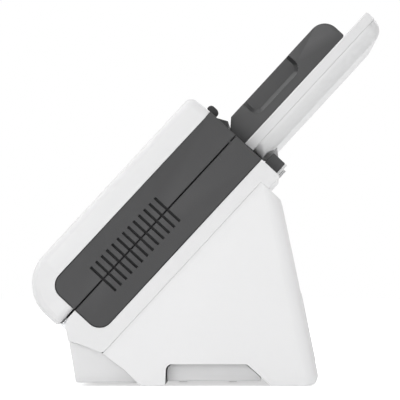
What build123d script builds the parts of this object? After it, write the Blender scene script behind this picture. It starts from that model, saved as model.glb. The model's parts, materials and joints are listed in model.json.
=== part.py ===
from build123d import *
import math
import os

# Document scanner. Millimetres, +Z up. X is the width, -Y the front, +Y the back.
# The leaning body is drawn in its side view: "along" runs up the slope from the
# bottom of the parting plane, "forward" is square to the slope, towards the front.

# Leaning body
LEAN = 47.25
PARTING_FOOT_Y = -88.3
PARTING_FOOT_Z = 35.6
WIDTH = 300.0
HALF = WIDTH / 2
BODY_LENGTH = 156.7
FRONT_DEPTH = 36.3
REAR_DEPTH = 36.3
PARTING_GAP = 0.3
WALL = 2.5
FIT = 0.3

# Dark side panels
PANEL_FOOT = 13.9
PANEL_HALF_DEPTH = 21.2
PANEL_THICKNESS = 2.6
PANEL_RECESS = 0.4
PANEL_CORNER = 9.0
VENT_COUNT = 13
VENT_FIRST = 39.4
VENT_PITCH = 4.72
VENT_WIDTH = 1.5
VENT_HALF_LENGTH = 10.3
PANEL_CHAMFER = 0.5
TOP_FLANGE = 1.2
TOP_FLANGE_DROP = 0.4

# Front cover
COVER_FOOT_CORNER = 25.0
COVER_TOP_CORNER = 5.0
COVER_SIDE_FILLET = 5.0
COVER_TOP_DROP = 1.2
HINGE_LIP = 3.5
HINGE_PIN_RADIUS = 1.5
HINGE_BOSS_INSET = 19.0
HINGE_BOSS_WIDTH = 4.0
HINGE_BOSS_X = (HALF - HINGE_BOSS_INSET - HINGE_BOSS_WIDTH, HALF - HINGE_BOSS_INSET)
HINGE_BACK = 11.7
ARM_SLOT_TOP = 8.0
DOOR_FOOT_CUT = 20.0
DOOR_TOP_CUT = 8.0
LATCH_WINDOW = (10.0, 26.4)

# Stand, in the side view as (y, z)
STAND_RECESS = 0.8
STAND_CREASE = 30.0
STAND_CREASE_FOOT = 6.3
SLOPE_OPENING_FOOT = 9.0
SLOPE_OPENING_MARGIN = 3.0
STAND_STEP_ALONG = 146.6
STAND_STEP_DEPTH = 46.0
BACK_TOP = (46.3, 107.1)
BACK_FOOT = (66.6, 11.1)
FRONT_FOOT_Y = -78.5
FRONT_FOOT_Z = 1.9
FRONT_TOP = (-84.5, 36.9)
REAR_FOOT_ALONG = 8.3
LIP_FRONT = (-82.8, 27.2)
LIP_REAR = (-75.5, 25.2)
STAND_EDGE = [(-41.1, 1.9), (-48.5, 9.6), (-55.3, 14.6)]
TOE_EDGE = [(-41.4, 1.9), (-48.8, 9.4), (-55.6, 14.4), (-62.4, 19.9), (-75.5, 24.9), (-82.7, 26.8)]
REAR_FOOT_FRONT_Y = 39.0
REAR_FOOT_BACK = [(67.5, 6.3), (65.8, 1.5), (60.1, 0.3)]
FRONT_FOOT_BACK_Y = -24.5
FRONT_FOOT_TIP_Y = -39.0
PAN_MIDDLE_Y = 4.0
PAN_LENGTH = 100.0
PAN_TOP_Z = 15.8
ARCH_HEIGHT = 13.2
ARCH_FRONT_Y = -24.0
ARCH_REAR_Y = 24.8
ARCH_CORNER = 3.5
BOTTOM_COVER_Z = 2.9
BOTTOM_COVER_WALL = 2.0
BOTTOM_COVER_CORNER = 1.5
TOE_INSET = 12.0
TOE_HALF_WIDTH = HALF - TOE_INSET
WINDOW_INSET = 10.0
TOE_WINDOW = 14.0
BACK_FILLET = 9.0

# Chassis and paper path
DRIVE_SPACE = 26.0
FRAME_INNER = HALF - DRIVE_SPACE
FRAME_THICKNESS = 2.0
PATH_SIDE_GAP = 6.0
PATH_HALF_WIDTH = FRAME_INNER - PATH_SIDE_GAP
PATH_GAP = 1.0
GUIDE_SHEET = 1.6
FLARE_ALONG = 122.0
PATH_TOP = 149.0
PATH_FOOT = 9.0
CHEEK = 2.4
CHEEK_FOOT = (14.0, 18.0)
CHEEK_SLOPE_TOP = 28.0
SHAFT_RADIUS = 3.0
SHAFT_CLEARANCE = 0.05
SHAFT_OVERHANG = 1.5
BUSH_WALL = 1.6
FEED_ALONG = 132.0
TRANSPORT_ALONG = 104.0
EXIT_ALONG = 36.0
FEED_RADIUS = 10.0
TRANSPORT_RADIUS = 7.0
NIP_GAP = 0.3
IDLER_RADIUS = 5.0
SEPARATION_RADIUS = 9.0
SENSOR_FOOT = 58.0
SENSOR_TOP = 88.0
SENSOR_DEPTH = 16.0
GLASS_INSET = 6.0
GLASS_HALF_WIDTH = PATH_HALF_WIDTH - GLASS_INSET
GLASS_FIT = 0.2
IDLER_SHAFT_RADIUS = 2.0
BRACKET_X = (35.0, 38.0)
BRACKET_HALF_LENGTH = 5.0
BRACKET_DEPTH = 14.0
WINDOW_MARGIN = 1.0
FRAME_TOP = 152.0
FRAME_EYE = 2.5
FRAME_FRONT_ROUNDING = 2.8
FRAME_ARM = (0.8, 6.6)
STAY_ALONG = [(16.0, 24.0), (124.0, 130.0)]
STAY_DEPTH = 6.0

# Drive on the left side
GEAR_MODULE = 1.0
GEAR_WIDTH = 5.0
TRANSPORT_TEETH = 24
PINION_TEETH = 12
GEAR_BACKLASH = 0.35
GEAR_OFFSET = 3.0
GEAR_PLANE = FRAME_INNER + FRAME_THICKNESS + GEAR_OFFSET
PULLEY_OFFSET = 7.0
PULLEY_PLANE = GEAR_PLANE + PULLEY_OFFSET
PULLEY_RADIUS = 6.0
BELT_THICKNESS = 1.0
BELT_WIDTH = 5.0
MOTOR_RADIUS = 10.0
MOTOR_LENGTH = 30.0
MOTOR_SHAFT_RADIUS = 1.5
MOTOR_BACK = 10.0
PULLEY_RIM = 0.8
PULLEY_MARGIN = 0.6

# Input tray
TRAY_INSET = 19.0
TRAY_HALF_WIDTH = HALF - TRAY_INSET
TRAY_FACE = 6.9
TRAY_SEAM = 13.3
TRAY_BACK = 22.5
TRAY_FOOT = 157.1
TRAY_END = 265.36
TRAY_CORNER = 9.0
TRAY_PLATE = 2.5
TRAY_CHAMFER = 0.6
TRAY_PIVOT_ALONG = 160.8
TRAY_PIVOT_DEPTH = 28.3
HINGE_BLOCK_SIZE = (7.6, 9.4)
LEDGE = 1.3
TRAY_EYE_RADIUS = 3.6
TRAY_PIN_RADIUS = 2.0
TRAY_PIN_INSET = 3.0
TRAY_PIN_END = TRAY_HALF_WIDTH - TRAY_PIN_INSET
BLOCK_CHAMFER = 0.3
TRAY_CROWN = 8.0
BLOCK_WIDTH = 18.0
LUG_WIDTH = 10.5
LUG_GAP = 0.5
BLOCK_X = (TRAY_HALF_WIDTH - BLOCK_WIDTH, TRAY_HALF_WIDTH)
LUG_X = (BLOCK_X[0] - LUG_GAP - LUG_WIDTH, BLOCK_X[0] - LUG_GAP)
RELIEF_RADIUS = 7.8
LUG_ROOT = (3.0, 9.0)
TRAY_RIB_X = 35.0
RIB_GAP = 15.0
COVER_RIB_X = 45.0

# Paper guides on the tray
GUIDE_TOP = 246.3
GUIDE_FRONT = 10.5
GUIDE_INSET = 17.0
GUIDE_OUTER = TRAY_HALF_WIDTH - GUIDE_INSET
GUIDE_WIDTH = 9.0
GUIDE_TRAVEL = 70.0
GRIP_FOOT = 174.0
GRIP_TOP = 214.5
GRIP_DEPTH = 5.0
GRIP_REACH = -1.0
GRIP_SLANT = 2.2
FOOT_LENGTH = 9.0
STUD_RADIUS = 2.5
RACK_ALONG = 205.0
GUIDE_PINION_TEETH = 16
RACK_THICKNESS = 2.4
RACK_TOOTH_ROOT = 1.2
RACK_TOOTH_TIP = 0.8
RACK_BACK = 4.0
RACK_RUN_PAST = 16.0
GUIDE_TOE = (152.4, 1.7)
GUIDE_CHIN = 163.3
GUIDE_CORNER = 10.0
GRIP_CORNER = 6.0

# Tray extension
EXTENSION_HALF_WIDTH = 55.0
EXTENSION_SHEET = 2.4
EXTENSION_TRAVEL = 80.0
EXTENSION_DEPTH = 13.6
EXTENSION_OVERLAP = 12.0
EXTENSION_END_GAP = 0.4
NOTCH_RADIUS = 12.0
NOTCH_OFFSET = 6.0

# Eject flap
FLAP_HALF_WIDTH = 112.0
FLAP_THICKNESS = 4.0
FLAP_PIVOT_Z = 5.5
FLAP_TOP_Z = 25.2
FLAP_FACE = 0.3
FLAP_ROUND_GAP = 0.03
TRUNNION_RADIUS = 1.5
TRUNNION_LENGTH = 3.5

# Controls
CONSOLE_INSET = 56.0
CONSOLE_WIDTH = 38.0
CONSOLE_HIGH_X = HALF - CONSOLE_INSET
CONSOLE_LOW_X = CONSOLE_HIGH_X - CONSOLE_WIDTH
CONSOLE_FOOT = 62.0
CONSOLE_TOP = 140.0
CONSOLE_RECESS = 0.5
CONSOLE_THICKNESS = 1.5
CONSOLE_CORNER = 6.0
POWER_DROP = 14.0
POWER_RADIUS = 6.0
SCAN_DROP = 39.0
SCAN_RADIUS = 9.0
MODE_RISE = 16.0
MODE_RADIUS = 5.0
BUTTON_TRAVEL = 0.8
BUTTON_SINK = 0.1
BUTTON_FLANGE = 1.0
SWITCH_BOARD_BACK = 22.0
SWITCH_BOARD_INSET = 4.0
SWITCH_TOP = 27.0
SWITCH_GAP = 0.2
SWITCH_SIZE = 6.0
STEM_RADIUS = 1.5
BUTTON_RIM = 0.6

# Door latch
LATCH_INSET = 46.0
LATCH_X = HALF - LATCH_INSET
LATCH_WIDTH = 24.0
LATCH_PIVOT_ALONG = 138.0
LATCH_PIVOT_FORWARD = 21.0
LATCH_PIN_RADIUS = 2.0
LATCH_HUB_RADIUS = 5.0
LATCH_HUB_OFFSET = 2.0
LATCH_HUB_X = LATCH_X - LATCH_HUB_OFFSET
KNOB_TOP = 160.8
KNOB_FORWARD = (17.5, 24.7)
KNOB_ROUNDING = 2.4
LATCH_ARM = (142.8, 146.5)
LATCH_NOSE = 3.9
HOOK_OFFSET = 8.5
HOOK_THICKNESS = 3.0
HOOK_X = (LATCH_X + HOOK_OFFSET, LATCH_X + HOOK_OFFSET + HOOK_THICKNESS)
LATCH_RIB_OFFSET = 14.0
LATCH_RIB_THICKNESS = 2.4
LATCH_RIB_X = (LATCH_X - LATCH_RIB_OFFSET, LATCH_X - LATCH_RIB_OFFSET + LATCH_RIB_THICKNESS)
HOOK_WINDOW = (134.0, 151.0)
CATCH_ALONG = 140.0
CATCH_FORWARD = -8.5
CATCH_RADIUS = 1.5
LIP_FOOT = 150.3
LIP_NOSE = (160.1, 9.8)
LIP_BACK = 17.2
SPRING_WIRE = 0.5
SPRING_TURNS = 5
SPRING_PITCH = 1.6
SPRING_CLEARANCE = 0.35

# Each button as (x, along, radius)
CONSOLE_MIDDLE_X = (CONSOLE_LOW_X + CONSOLE_HIGH_X) / 2
BUTTONS = {
    "power_button": (CONSOLE_MIDDLE_X, CONSOLE_TOP - POWER_DROP, POWER_RADIUS),
    "scan_button": (CONSOLE_MIDDLE_X, CONSOLE_TOP - SCAN_DROP, SCAN_RADIUS),
    "mode_button": (CONSOLE_MIDDLE_X, CONSOLE_FOOT + MODE_RISE, MODE_RADIUS),
}

# Ports on the back
PORT_INSET = 54.0
PORT_X = PORT_INSET - HALF
PORT_Z = 35.0
PORT_WIDTH = 52.0
PORT_HEIGHT = 20.0
PORT_REACH = 24.0
PORT_FACE_Y = 60.3
JACK_BORE_RADIUS = 2.8
JACK_DEPTH = 9.0
JACK_SIZE = (10.0, 14.0, 11.0)
USB_SIZE = (12.0, 16.0, 11.0)
USB_MOUTH = (8.6, 8.0)
USB_TONGUE = (5.6, 9.0, 1.4)
BOARD_Z = 27.0
BOARD_THICKNESS = 1.6
BOARD_INSET = 25.0
BOARD_WIDTH = 110.0
BOARD_AREA = (BOARD_INSET - HALF, BOARD_INSET + BOARD_WIDTH - HALF, -18.0, 54.0)
BOARD_HOLE = 1.5
BOARD_HOLE_INSET = 5.0
POST_RADIUS = 3.5
SCREW_HEAD_RADIUS = 2.6
SCREW_HEAD_HEIGHT = 1.6
JACK_OFFSET = 14.0
USB_OFFSET = 10.0
JACK_X = PORT_X - JACK_OFFSET
USB_X = PORT_X + USB_OFFSET
# Chips and connectors as (x, y, width, depth, height)
BOARD_PARTS = [
    (BOARD_AREA[0] + 55.0, 10.0, 16.0, 16.0, 1.4),
    (BOARD_AREA[0] + 85.0, 20.0, 10.0, 12.0, 1.2),
    (BOARD_AREA[0] + 30.0, -8.0, 22.0, 5.0, 5.0),
]

# Feet and rating plate
FOOT_Z = 0.3
FOOT_PAD = 1.5
PAD_INSET = 38.0
PAD_X = HALF - PAD_INSET
PAD_LENGTH = 40.0
PAD_CORNER = 4.0
PADS = [(-32.0, 9.0), (47.0, 12.0)]
PLATE_INSET = 90.0
PLATE_X = HALF - PLATE_INSET
PLATE_WIDTH = 90.0
PLATE_HEIGHT = 42.0
PLATE_RISE = 24.0
FRAME_SCREW_ALONG = (40.0, 80.0, 120.0)
FRAME_SCREW_RADIUS = 3.0
FRAME_SCREW_OFFSET = 5.0
PLATE_THICKNESS = 0.4

SLOPE_COS = math.cos(math.radians(LEAN))
SLOPE_SIN = math.sin(math.radians(LEAN))
PANEL_OUTER = HALF - PANEL_RECESS
PANEL_INNER = PANEL_OUTER - PANEL_THICKNESS
HINGE_ALONG = HINGE_LIP
HINGE_FORWARD = PARTING_GAP + HINGE_LIP
BOARD_TOP = BOARD_Z + BOARD_THICKNESS
CHEEK_OUTER = PATH_HALF_WIDTH + CHEEK
FRAME_OUTER = FRAME_INNER + FRAME_THICKNESS
CONSOLE_BACK = FRONT_DEPTH - CONSOLE_RECESS - CONSOLE_THICKNESS
CENTRE_MIN = (Align.CENTER, Align.CENTER, Align.MIN)

# Shafts and rollers as (along, forward), and the ends of their sleeves in X
SHAFTS = {
    "feed": (FEED_ALONG, -(NIP_GAP / 2 + FEED_RADIUS)),
    "transport": (TRANSPORT_ALONG, -(NIP_GAP / 2 + TRANSPORT_RADIUS)),
    "exit": (EXIT_ALONG, -(NIP_GAP / 2 + TRANSPORT_RADIUS)),
}
IDLERS = {
    "transport": (TRANSPORT_ALONG, NIP_GAP / 2 + IDLER_RADIUS),
    "exit": (EXIT_ALONG, NIP_GAP / 2 + IDLER_RADIUS),
}
SEPARATION = (FEED_ALONG, NIP_GAP / 2 + SEPARATION_RADIUS)
FEED_SLEEVES = [(-31.0, -9.0), (9.0, 31.0)]
TRANSPORT_SLEEVES = [(-92.0, -78.0), (-37.0, -23.0), (23.0, 37.0), (78.0, 92.0)]
MOTOR_ANGLE = -97.0
MESH_DISTANCE = GEAR_MODULE * (TRANSPORT_TEETH + PINION_TEETH) / 2
MOTOR_ALONG = TRANSPORT_ALONG + MESH_DISTANCE * math.cos(math.radians(MOTOR_ANGLE))
MOTOR_FORWARD = SHAFTS["transport"][1] + MESH_DISTANCE * math.sin(math.radians(MOTOR_ANGLE))
REAR_WALL_FACE = -STAND_CREASE + WALL
FEED_PULLEY_RADIUS = PULLEY_RADIUS * 1.5
BUSH_RADIUS = SHAFT_RADIUS + BUSH_WALL


def slab(along, forward, radius=0.0):
    """Corner of an outline, placed on the leaning body, with its own rounding."""
    y = PARTING_FOOT_Y + SLOPE_COS * along - SLOPE_SIN * forward
    z = PARTING_FOOT_Z + SLOPE_SIN * along + SLOPE_COS * forward
    return (y, z, radius)


def outline(corners):
    """Face in the side view. A corner is (y, z) or (y, z, rounding radius)."""
    face = Polygon(*[corner[:2] for corner in corners], align=None)
    for corner in corners:
        if len(corner) == 3 and corner[2] > 0:
            target = Vector(corner[0], corner[1])
            vertex = min(face.vertices(), key=lambda v: (Vector(v.X, v.Y) - target).length)
            face = fillet(vertex, radius=corner[2])
    return face


def side_bar(face, x_low, x_high):
    """Straight bar along X whose section is a face of the side view."""
    return extrude(Plane.YZ.offset(x_low) * face, amount=x_high - x_low, dir=(1, 0, 0))


def side_prism(corners, x_low, x_high):
    """Straight bar along X whose section is the given side outline."""
    return side_bar(outline(corners), x_low, x_high)


def slab_box(along, forward, x_range):
    """Box square to the slope, from three (low, high) ranges."""
    low_along, high_along = along
    low_forward, high_forward = forward
    corners = [
        slab(low_along, low_forward),
        slab(high_along, low_forward),
        slab(high_along, high_forward),
        slab(low_along, high_forward),
    ]
    return side_prism(corners, *x_range)


def rod(along, forward, radius, x_low, x_high):
    """Round bar along X, centred on a point of the leaning body."""
    y, z, _ = slab(along, forward)
    return Pos(x_low, y, z) * Rot(0, 90, 0) * Cylinder(radius, x_high - x_low, align=CENTRE_MIN)


def sleeve(along, forward, radius, bore, x_low, x_high):
    """Round bar along X with a bore."""
    outer = rod(along, forward, radius, x_low, x_high)
    return outer - rod(along, forward, bore, x_low - 1, x_high + 1)


def face_plug(x, along, forward, radius, length):
    """Round bar square to the slope, rising forward from its centre point."""
    y, z, _ = slab(along, forward)
    plane = Plane(origin=(x, y, z), x_dir=(1, 0, 0), z_dir=(0, -SLOPE_SIN, SLOPE_COS))
    return plane * Cylinder(radius, length, align=CENTRE_MIN)


def both_sides(piece):
    """The piece and its mirror image on the other side."""
    return [piece, mirror(piece, Plane.YZ)]


def save(name, *pieces):
    """Write one named sub-part, as one solid or as a group of separate solids."""
    solids = []
    for piece in pieces:
        solids.extend(piece.solids())
    shape = solids[0] if len(solids) == 1 else Compound(children=solids)
    shape.label = name
    export_step(shape, os.path.join("parts", name + ".step"))
    return shape


def gear(teeth, module, width, backlash, turn=0.0):
    """Spur gear on the Z axis with straight-sided teeth, thinned for backlash."""
    pitch = teeth * module / 2
    tip = pitch + module * 0.9
    root = pitch - module * 1.15
    points = []
    for index in range(teeth):
        centre = 2 * math.pi * index / teeth + math.radians(turn)
        half = (math.pi * module / 2 - backlash) / 2 / pitch
        for radius, spread in ((root, 1.55), (pitch, 1.0), (tip, 0.45)):
            angle = centre - half * spread
            points.append((radius * math.cos(angle), radius * math.sin(angle)))
        for radius, spread in ((tip, 0.45), (pitch, 1.0), (root, 1.55)):
            angle = centre + half * spread
            points.append((radius * math.cos(angle), radius * math.sin(angle)))
    return extrude(Polygon(*points, align=None), amount=width)


def upright_bar(x, y, z, radius, length):
    """Round bar standing upright on a point."""
    return Pos(x, y, z) * Cylinder(radius, length, align=CENTRE_MIN)


def place_on_shaft(piece, along, forward, x_low):
    """Turn a piece made on the Z axis to lie along X on a shaft."""
    y, z, _ = slab(along, forward)
    return Pos(x_low, y, z) * Rot(0, 90, 0) * piece


# Leaning body, rear half

def rear_outline():
    """Whole side outline of the rear half, dark panel area included."""
    return [
        slab(BODY_LENGTH, -PARTING_GAP),
        slab(REAR_FOOT_ALONG, -PARTING_GAP, 2.5),
        (*FRONT_TOP, 4.0),
        (*LIP_FRONT, 1.0),
        LIP_REAR,
        slab(STAND_CREASE_FOOT, -STAND_CREASE, 3.0),
        slab(STAND_STEP_ALONG, -STAND_CREASE),
        slab(STAND_STEP_ALONG, -REAR_DEPTH),
        slab(BODY_LENGTH, -REAR_DEPTH, 1.5),
    ]


def drive_window():
    """Window in the sloping walls beside the motor's pinion."""
    reach = GEAR_MODULE * (PINION_TEETH / 2 + 2)
    x_range = (-GEAR_PLANE - GEAR_WIDTH - 2, -FRAME_INNER)
    forward = (-STAND_CREASE - 2 * WALL, MOTOR_FORWARD + reach)
    return slab_box((MOTOR_ALONG - reach, MOTOR_ALONG + reach), forward, x_range)


def slope_opening(low_forward, high_forward):
    """Opening in the wall between the leaning body and the stand."""
    ends = (SLOPE_OPENING_FOOT, STAND_STEP_ALONG - SLOPE_OPENING_MARGIN)
    return slab_box(ends, (low_forward, high_forward), (-FRAME_INNER, FRAME_INNER))


def make_rear_shell():
    """White shell round the foot and the back of the dark side panels."""
    outer = side_prism(rear_outline(), -HALF, HALF)
    inner_face = offset(outline(rear_outline()), amount=-WALL, kind=Kind.INTERSECTION)
    inside = HALF - WALL
    shell = outer - side_bar(inner_face, -inside, inside)
    shell -= slab_box((PANEL_FOOT, BODY_LENGTH + 5), (-PANEL_HALF_DEPTH, 5), (-inside, inside))
    shell -= slope_opening(-STAND_CREASE - 1, -PANEL_HALF_DEPTH)
    shell -= drive_window()
    for recess in both_sides(panel_blank(FRAME_OUTER, HALF + 1, 0.0)):
        shell -= recess
    arm_slot = (FRAME_INNER - FIT, FRAME_OUTER + FIT)
    arm_end = REAR_FOOT_ALONG + FIT
    for slot in both_sides(slab_box((-2, arm_end), (-HINGE_BACK - FIT, HINGE_BACK), arm_slot)):
        shell -= slot
    mouth = (-PATH_HALF_WIDTH, PATH_HALF_WIDTH)
    shell -= slab_box((-2, DOOR_FOOT_CUT), (-PATH_GAP, HINGE_BACK), mouth)
    block_back = TRAY_PIVOT_DEPTH + HINGE_BLOCK_SIZE[1] / 2
    ledge_ends = (BODY_LENGTH - 1, TRAY_PIVOT_ALONG + HINGE_BLOCK_SIZE[0] / 2)
    for ledge in both_sides(slab_box(ledge_ends, (-block_back - FIT - LEDGE, -block_back - FIT), BLOCK_X)):
        shell += ledge
    return shell


def panel_blank(x_low, x_high, inset, front=False):
    """Bar with the outline of one dark side panel, rear or front half."""
    side = 1 if front else -1
    foot = PANEL_FOOT + inset
    edge = side * (PANEL_HALF_DEPTH - inset)
    corners = [
        slab(foot, side * PARTING_GAP if inset else -side * 2),
        slab(foot, edge, PANEL_CORNER - inset),
        slab(BODY_LENGTH + (0 if inset else 5), edge),
        slab(BODY_LENGTH + (0 if inset else 5), side * PARTING_GAP if inset else -side * 2),
    ]
    return side_prism(corners, x_low, x_high)


def make_side_panel(front):
    """Right-hand dark panel: a plate with vents and a flange that closes the top."""
    side = 1 if front else -1
    plate = panel_blank(PANEL_INNER, PANEL_OUTER, FIT / 2, front)
    top_edges = plate.edges().filter_by(lambda e: abs(e.center().X - PANEL_OUTER) < 0.01)
    plate = chamfer(top_edges.filter_by(GeomType.LINE), length=PANEL_CHAMFER)
    flange_forward = sorted((side * PARTING_GAP, side * (PANEL_HALF_DEPTH - FIT / 2)))
    flange_x = (FRAME_OUTER + FIT, PANEL_INNER)
    flange_top = BODY_LENGTH - TOP_FLANGE_DROP
    plate += slab_box((flange_top - TOP_FLANGE, flange_top), flange_forward, flange_x)
    for index in range(VENT_COUNT):
        middle = VENT_FIRST + index * VENT_PITCH
        reach = sorted((-side, side * VENT_HALF_LENGTH))
        ends = (middle - VENT_WIDTH / 2, middle + VENT_WIDTH / 2)
        plate -= slab_box(ends, reach, (PANEL_INNER - 1, HALF + 1))
    return plate


# Leaning body, front half

def cover_outline(inset=0.0):
    """Side outline of the whole front half, or of its hollow."""
    low = -5 if inset else PARTING_GAP
    lip = 0.0 if inset else HINGE_LIP
    front = FRONT_DEPTH - inset
    return [
        slab(inset, low, lip),
        slab(inset, front, COVER_FOOT_CORNER - inset),
        slab(BODY_LENGTH - COVER_TOP_DROP - inset, front, COVER_TOP_CORNER - inset * 0.5),
        slab(BODY_LENGTH - inset, PANEL_HALF_DEPTH),
        slab(BODY_LENGTH - inset, low),
    ]


def console_outline(inset, depth_low, depth_high):
    """Rounded rectangle on the front face, as a plate between two depths."""
    width = CONSOLE_HIGH_X - CONSOLE_LOW_X - 2 * inset
    length = CONSOLE_TOP - CONSOLE_FOOT - 2 * inset
    y, z, _ = slab((CONSOLE_TOP + CONSOLE_FOOT) / 2, depth_low)
    plane = Plane(origin=(CONSOLE_MIDDLE_X, y, z), x_dir=(1, 0, 0), z_dir=(0, -SLOPE_SIN, SLOPE_COS))
    face = RectangleRounded(width, length, CONSOLE_CORNER - inset)
    return extrude(plane * face, amount=depth_high - depth_low)


def make_front_cover():
    """White door shell: front, foot, top and side rims, hollow behind."""
    outer = side_prism(cover_outline(), -HALF, HALF)
    rim = outer.edges().filter_by(on_front_rim)
    outer = fillet(rim, radius=COVER_SIDE_FILLET)
    inside = HALF - WALL
    cover = outer - side_prism(cover_outline(WALL), -inside, inside)
    top_ends = (BODY_LENGTH - DOOR_TOP_CUT, BODY_LENGTH + 1)
    cover -= slab_box(top_ends, (-1, PANEL_HALF_DEPTH), (-inside, inside))
    for recess in both_sides(panel_blank(FRAME_OUTER, HALF + 1, 0.0, front=True)):
        cover -= recess
    arm_slot = (FRAME_INNER - FIT, FRAME_OUTER + FIT)
    slot = slab_box((-1, ARM_SLOT_TOP), (-1, HINGE_FORWARD + HINGE_LIP + 2), arm_slot)
    for piece in both_sides(slot):
        cover -= piece
    cover -= slab_box((-1, DOOR_FOOT_CUT), (-1, PATH_GAP + GUIDE_SHEET), (-PATH_HALF_WIDTH, PATH_HALF_WIDTH))
    latch_x = (LATCH_X - LATCH_WIDTH / 2 - FIT, LATCH_X + LATCH_WIDTH / 2 + FIT)
    cover -= slab_box(top_ends, LATCH_WINDOW, latch_x)
    cover -= console_outline(0.0, CONSOLE_BACK, FRONT_DEPTH + 1)
    for hole in button_holes():
        cover -= hole
    for boss in both_sides(rod(HINGE_ALONG, HINGE_FORWARD, HINGE_LIP, *HINGE_BOSS_X)):
        cover += boss
    bore_radius = HINGE_PIN_RADIUS + SHAFT_CLEARANCE
    bore = rod(HINGE_ALONG, HINGE_FORWARD, bore_radius, FRAME_INNER, HALF - PANEL_CORNER)
    for piece in both_sides(bore):
        cover -= piece
    return cover


def button_holes():
    """Round holes for the buttons, through the cover and the console."""
    foot = FRONT_DEPTH - 2 * WALL
    return [face_plug(x, along, foot, radius + FIT, 4 * WALL) for x, along, radius in BUTTONS.values()]


def on_front_rim(edge):
    """True for the outer edges of the two ends, away from the parting plane."""
    middle = edge.center()
    if abs(abs(middle.X) - HALF) > 0.01:
        return False
    y = middle.Y - PARTING_FOOT_Y
    z = middle.Z - PARTING_FOOT_Z
    forward = -SLOPE_SIN * y + SLOPE_COS * z
    return forward > HINGE_FORWARD and SLOPE_COS * y + SLOPE_SIN * z < BODY_LENGTH - COVER_TOP_DROP / 2


def make_control_console():
    """Glossy dark plate let into the front, with a hole for each button."""
    plate = console_outline(FIT, CONSOLE_BACK, CONSOLE_BACK + CONSOLE_THICKNESS)
    for hole in button_holes():
        plate -= hole
    return plate


def make_button(name):
    """Domed key with a stem and a flange behind the cover wall."""
    x, along, radius = BUTTONS[name]
    flange_back = FRONT_DEPTH - WALL - FIT - BUTTON_FLANGE
    key = face_plug(x, along, flange_back, radius, FRONT_DEPTH - BUTTON_SINK - flange_back)
    rim = key.edges().sort_by(lambda e: -SLOPE_SIN * e.center().Y + SLOPE_COS * e.center().Z)[-1]
    key = fillet(rim, radius=BUTTON_RIM)
    flange = face_plug(x, along, flange_back, radius + STEM_RADIUS, BUTTON_FLANGE)
    stem_foot = SWITCH_TOP + BUTTON_TRAVEL + SWITCH_GAP
    stem = face_plug(x, along, stem_foot, STEM_RADIUS, flange_back - stem_foot + BUTTON_FLANGE / 2)
    return key + flange + stem


# Stand

def stand_outline():
    """Side outline of the full-width stand."""
    foot_back, foot_corner, foot_end = REAR_FOOT_BACK
    edge_foot, edge_middle, edge_top = STAND_EDGE
    return [
        slab(STAND_STEP_ALONG, -STAND_CREASE),
        slab(STAND_STEP_ALONG, -STAND_STEP_DEPTH, 4.0),
        (*BACK_TOP,),
        (*BACK_FOOT, 6.0),
        (*foot_back, 2.0),
        (*foot_corner, 3.0),
        (*foot_end, 3.0),
        (REAR_FOOT_FRONT_Y, FOOT_Z, 1.5),
        (ARCH_REAR_Y, ARCH_HEIGHT, ARCH_CORNER),
        (ARCH_FRONT_Y, ARCH_HEIGHT, ARCH_CORNER),
        (FRONT_FOOT_BACK_Y, FOOT_Z, 1.0),
        (FRONT_FOOT_TIP_Y, FOOT_Z, 1.0),
        edge_foot,
        (*edge_middle, 8.0),
        edge_top,
        slab(STAND_CREASE_FOOT, -STAND_CREASE),
    ]


def floor_zone(inset):
    """Region of the stand's underside that the base pan fills."""
    half = HALF - STAND_RECESS - WALL - inset
    height = 2 * PAN_TOP_Z - inset
    return Pos(0, PAN_MIDDLE_Y, 0) * Box(2 * half, PAN_LENGTH - 2 * inset, height)


def back_rounding(inset):
    """Long block along the sloping back whose rear corners are rounded, drawn in by an inset."""
    reach = WIDTH
    half = HALF - STAND_RECESS - inset
    down = Vector(0, BACK_FOOT[0] - BACK_TOP[0], BACK_FOOT[1] - BACK_TOP[1]).normalized()
    plane = Plane(origin=(0, BACK_TOP[0], BACK_TOP[1]), x_dir=(1, 0, 0), z_dir=down)
    face = Pos(0, reach + inset) * RectangleRounded(2 * half, 2 * reach, BACK_FILLET - inset)
    return extrude(plane * face, amount=reach, both=True)


def stand_shapes():
    """Outer solid and hollow of the stand."""
    half = HALF - STAND_RECESS
    face = outline(stand_outline())
    outer = side_bar(face, -half, half)
    outer &= back_rounding(0.0)
    hollow_face = offset(face, amount=-WALL, kind=Kind.INTERSECTION)
    hollow = side_bar(hollow_face, -half + WALL, half - WALL)
    hollow &= back_rounding(WALL)
    return outer, hollow


def make_stand(outer, hollow):
    """White wedge-shaped stand, open under the slope and underneath."""
    shell = outer - hollow
    shell -= slope_opening(-STAND_CREASE - 2 * WALL, -STAND_CREASE + 2 * WALL)
    shell -= drive_window()
    shell -= floor_zone(0.0)
    shell -= port_zone(0.0)
    return shell


def port_zone(inset):
    """Block through the back wall where the port panel sits."""
    return Pos(PORT_X, PORT_FACE_Y, PORT_Z) * Box(PORT_WIDTH - 2 * inset, PORT_REACH, PORT_HEIGHT - 2 * inset)


def make_base_pan(outer, hollow):
    """Floor of the stand: it follows the underside between the feet."""
    pan = (outer - hollow) & floor_zone(FIT / 2)
    for pad in make_feet():
        pan -= pad
    return pan


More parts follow.
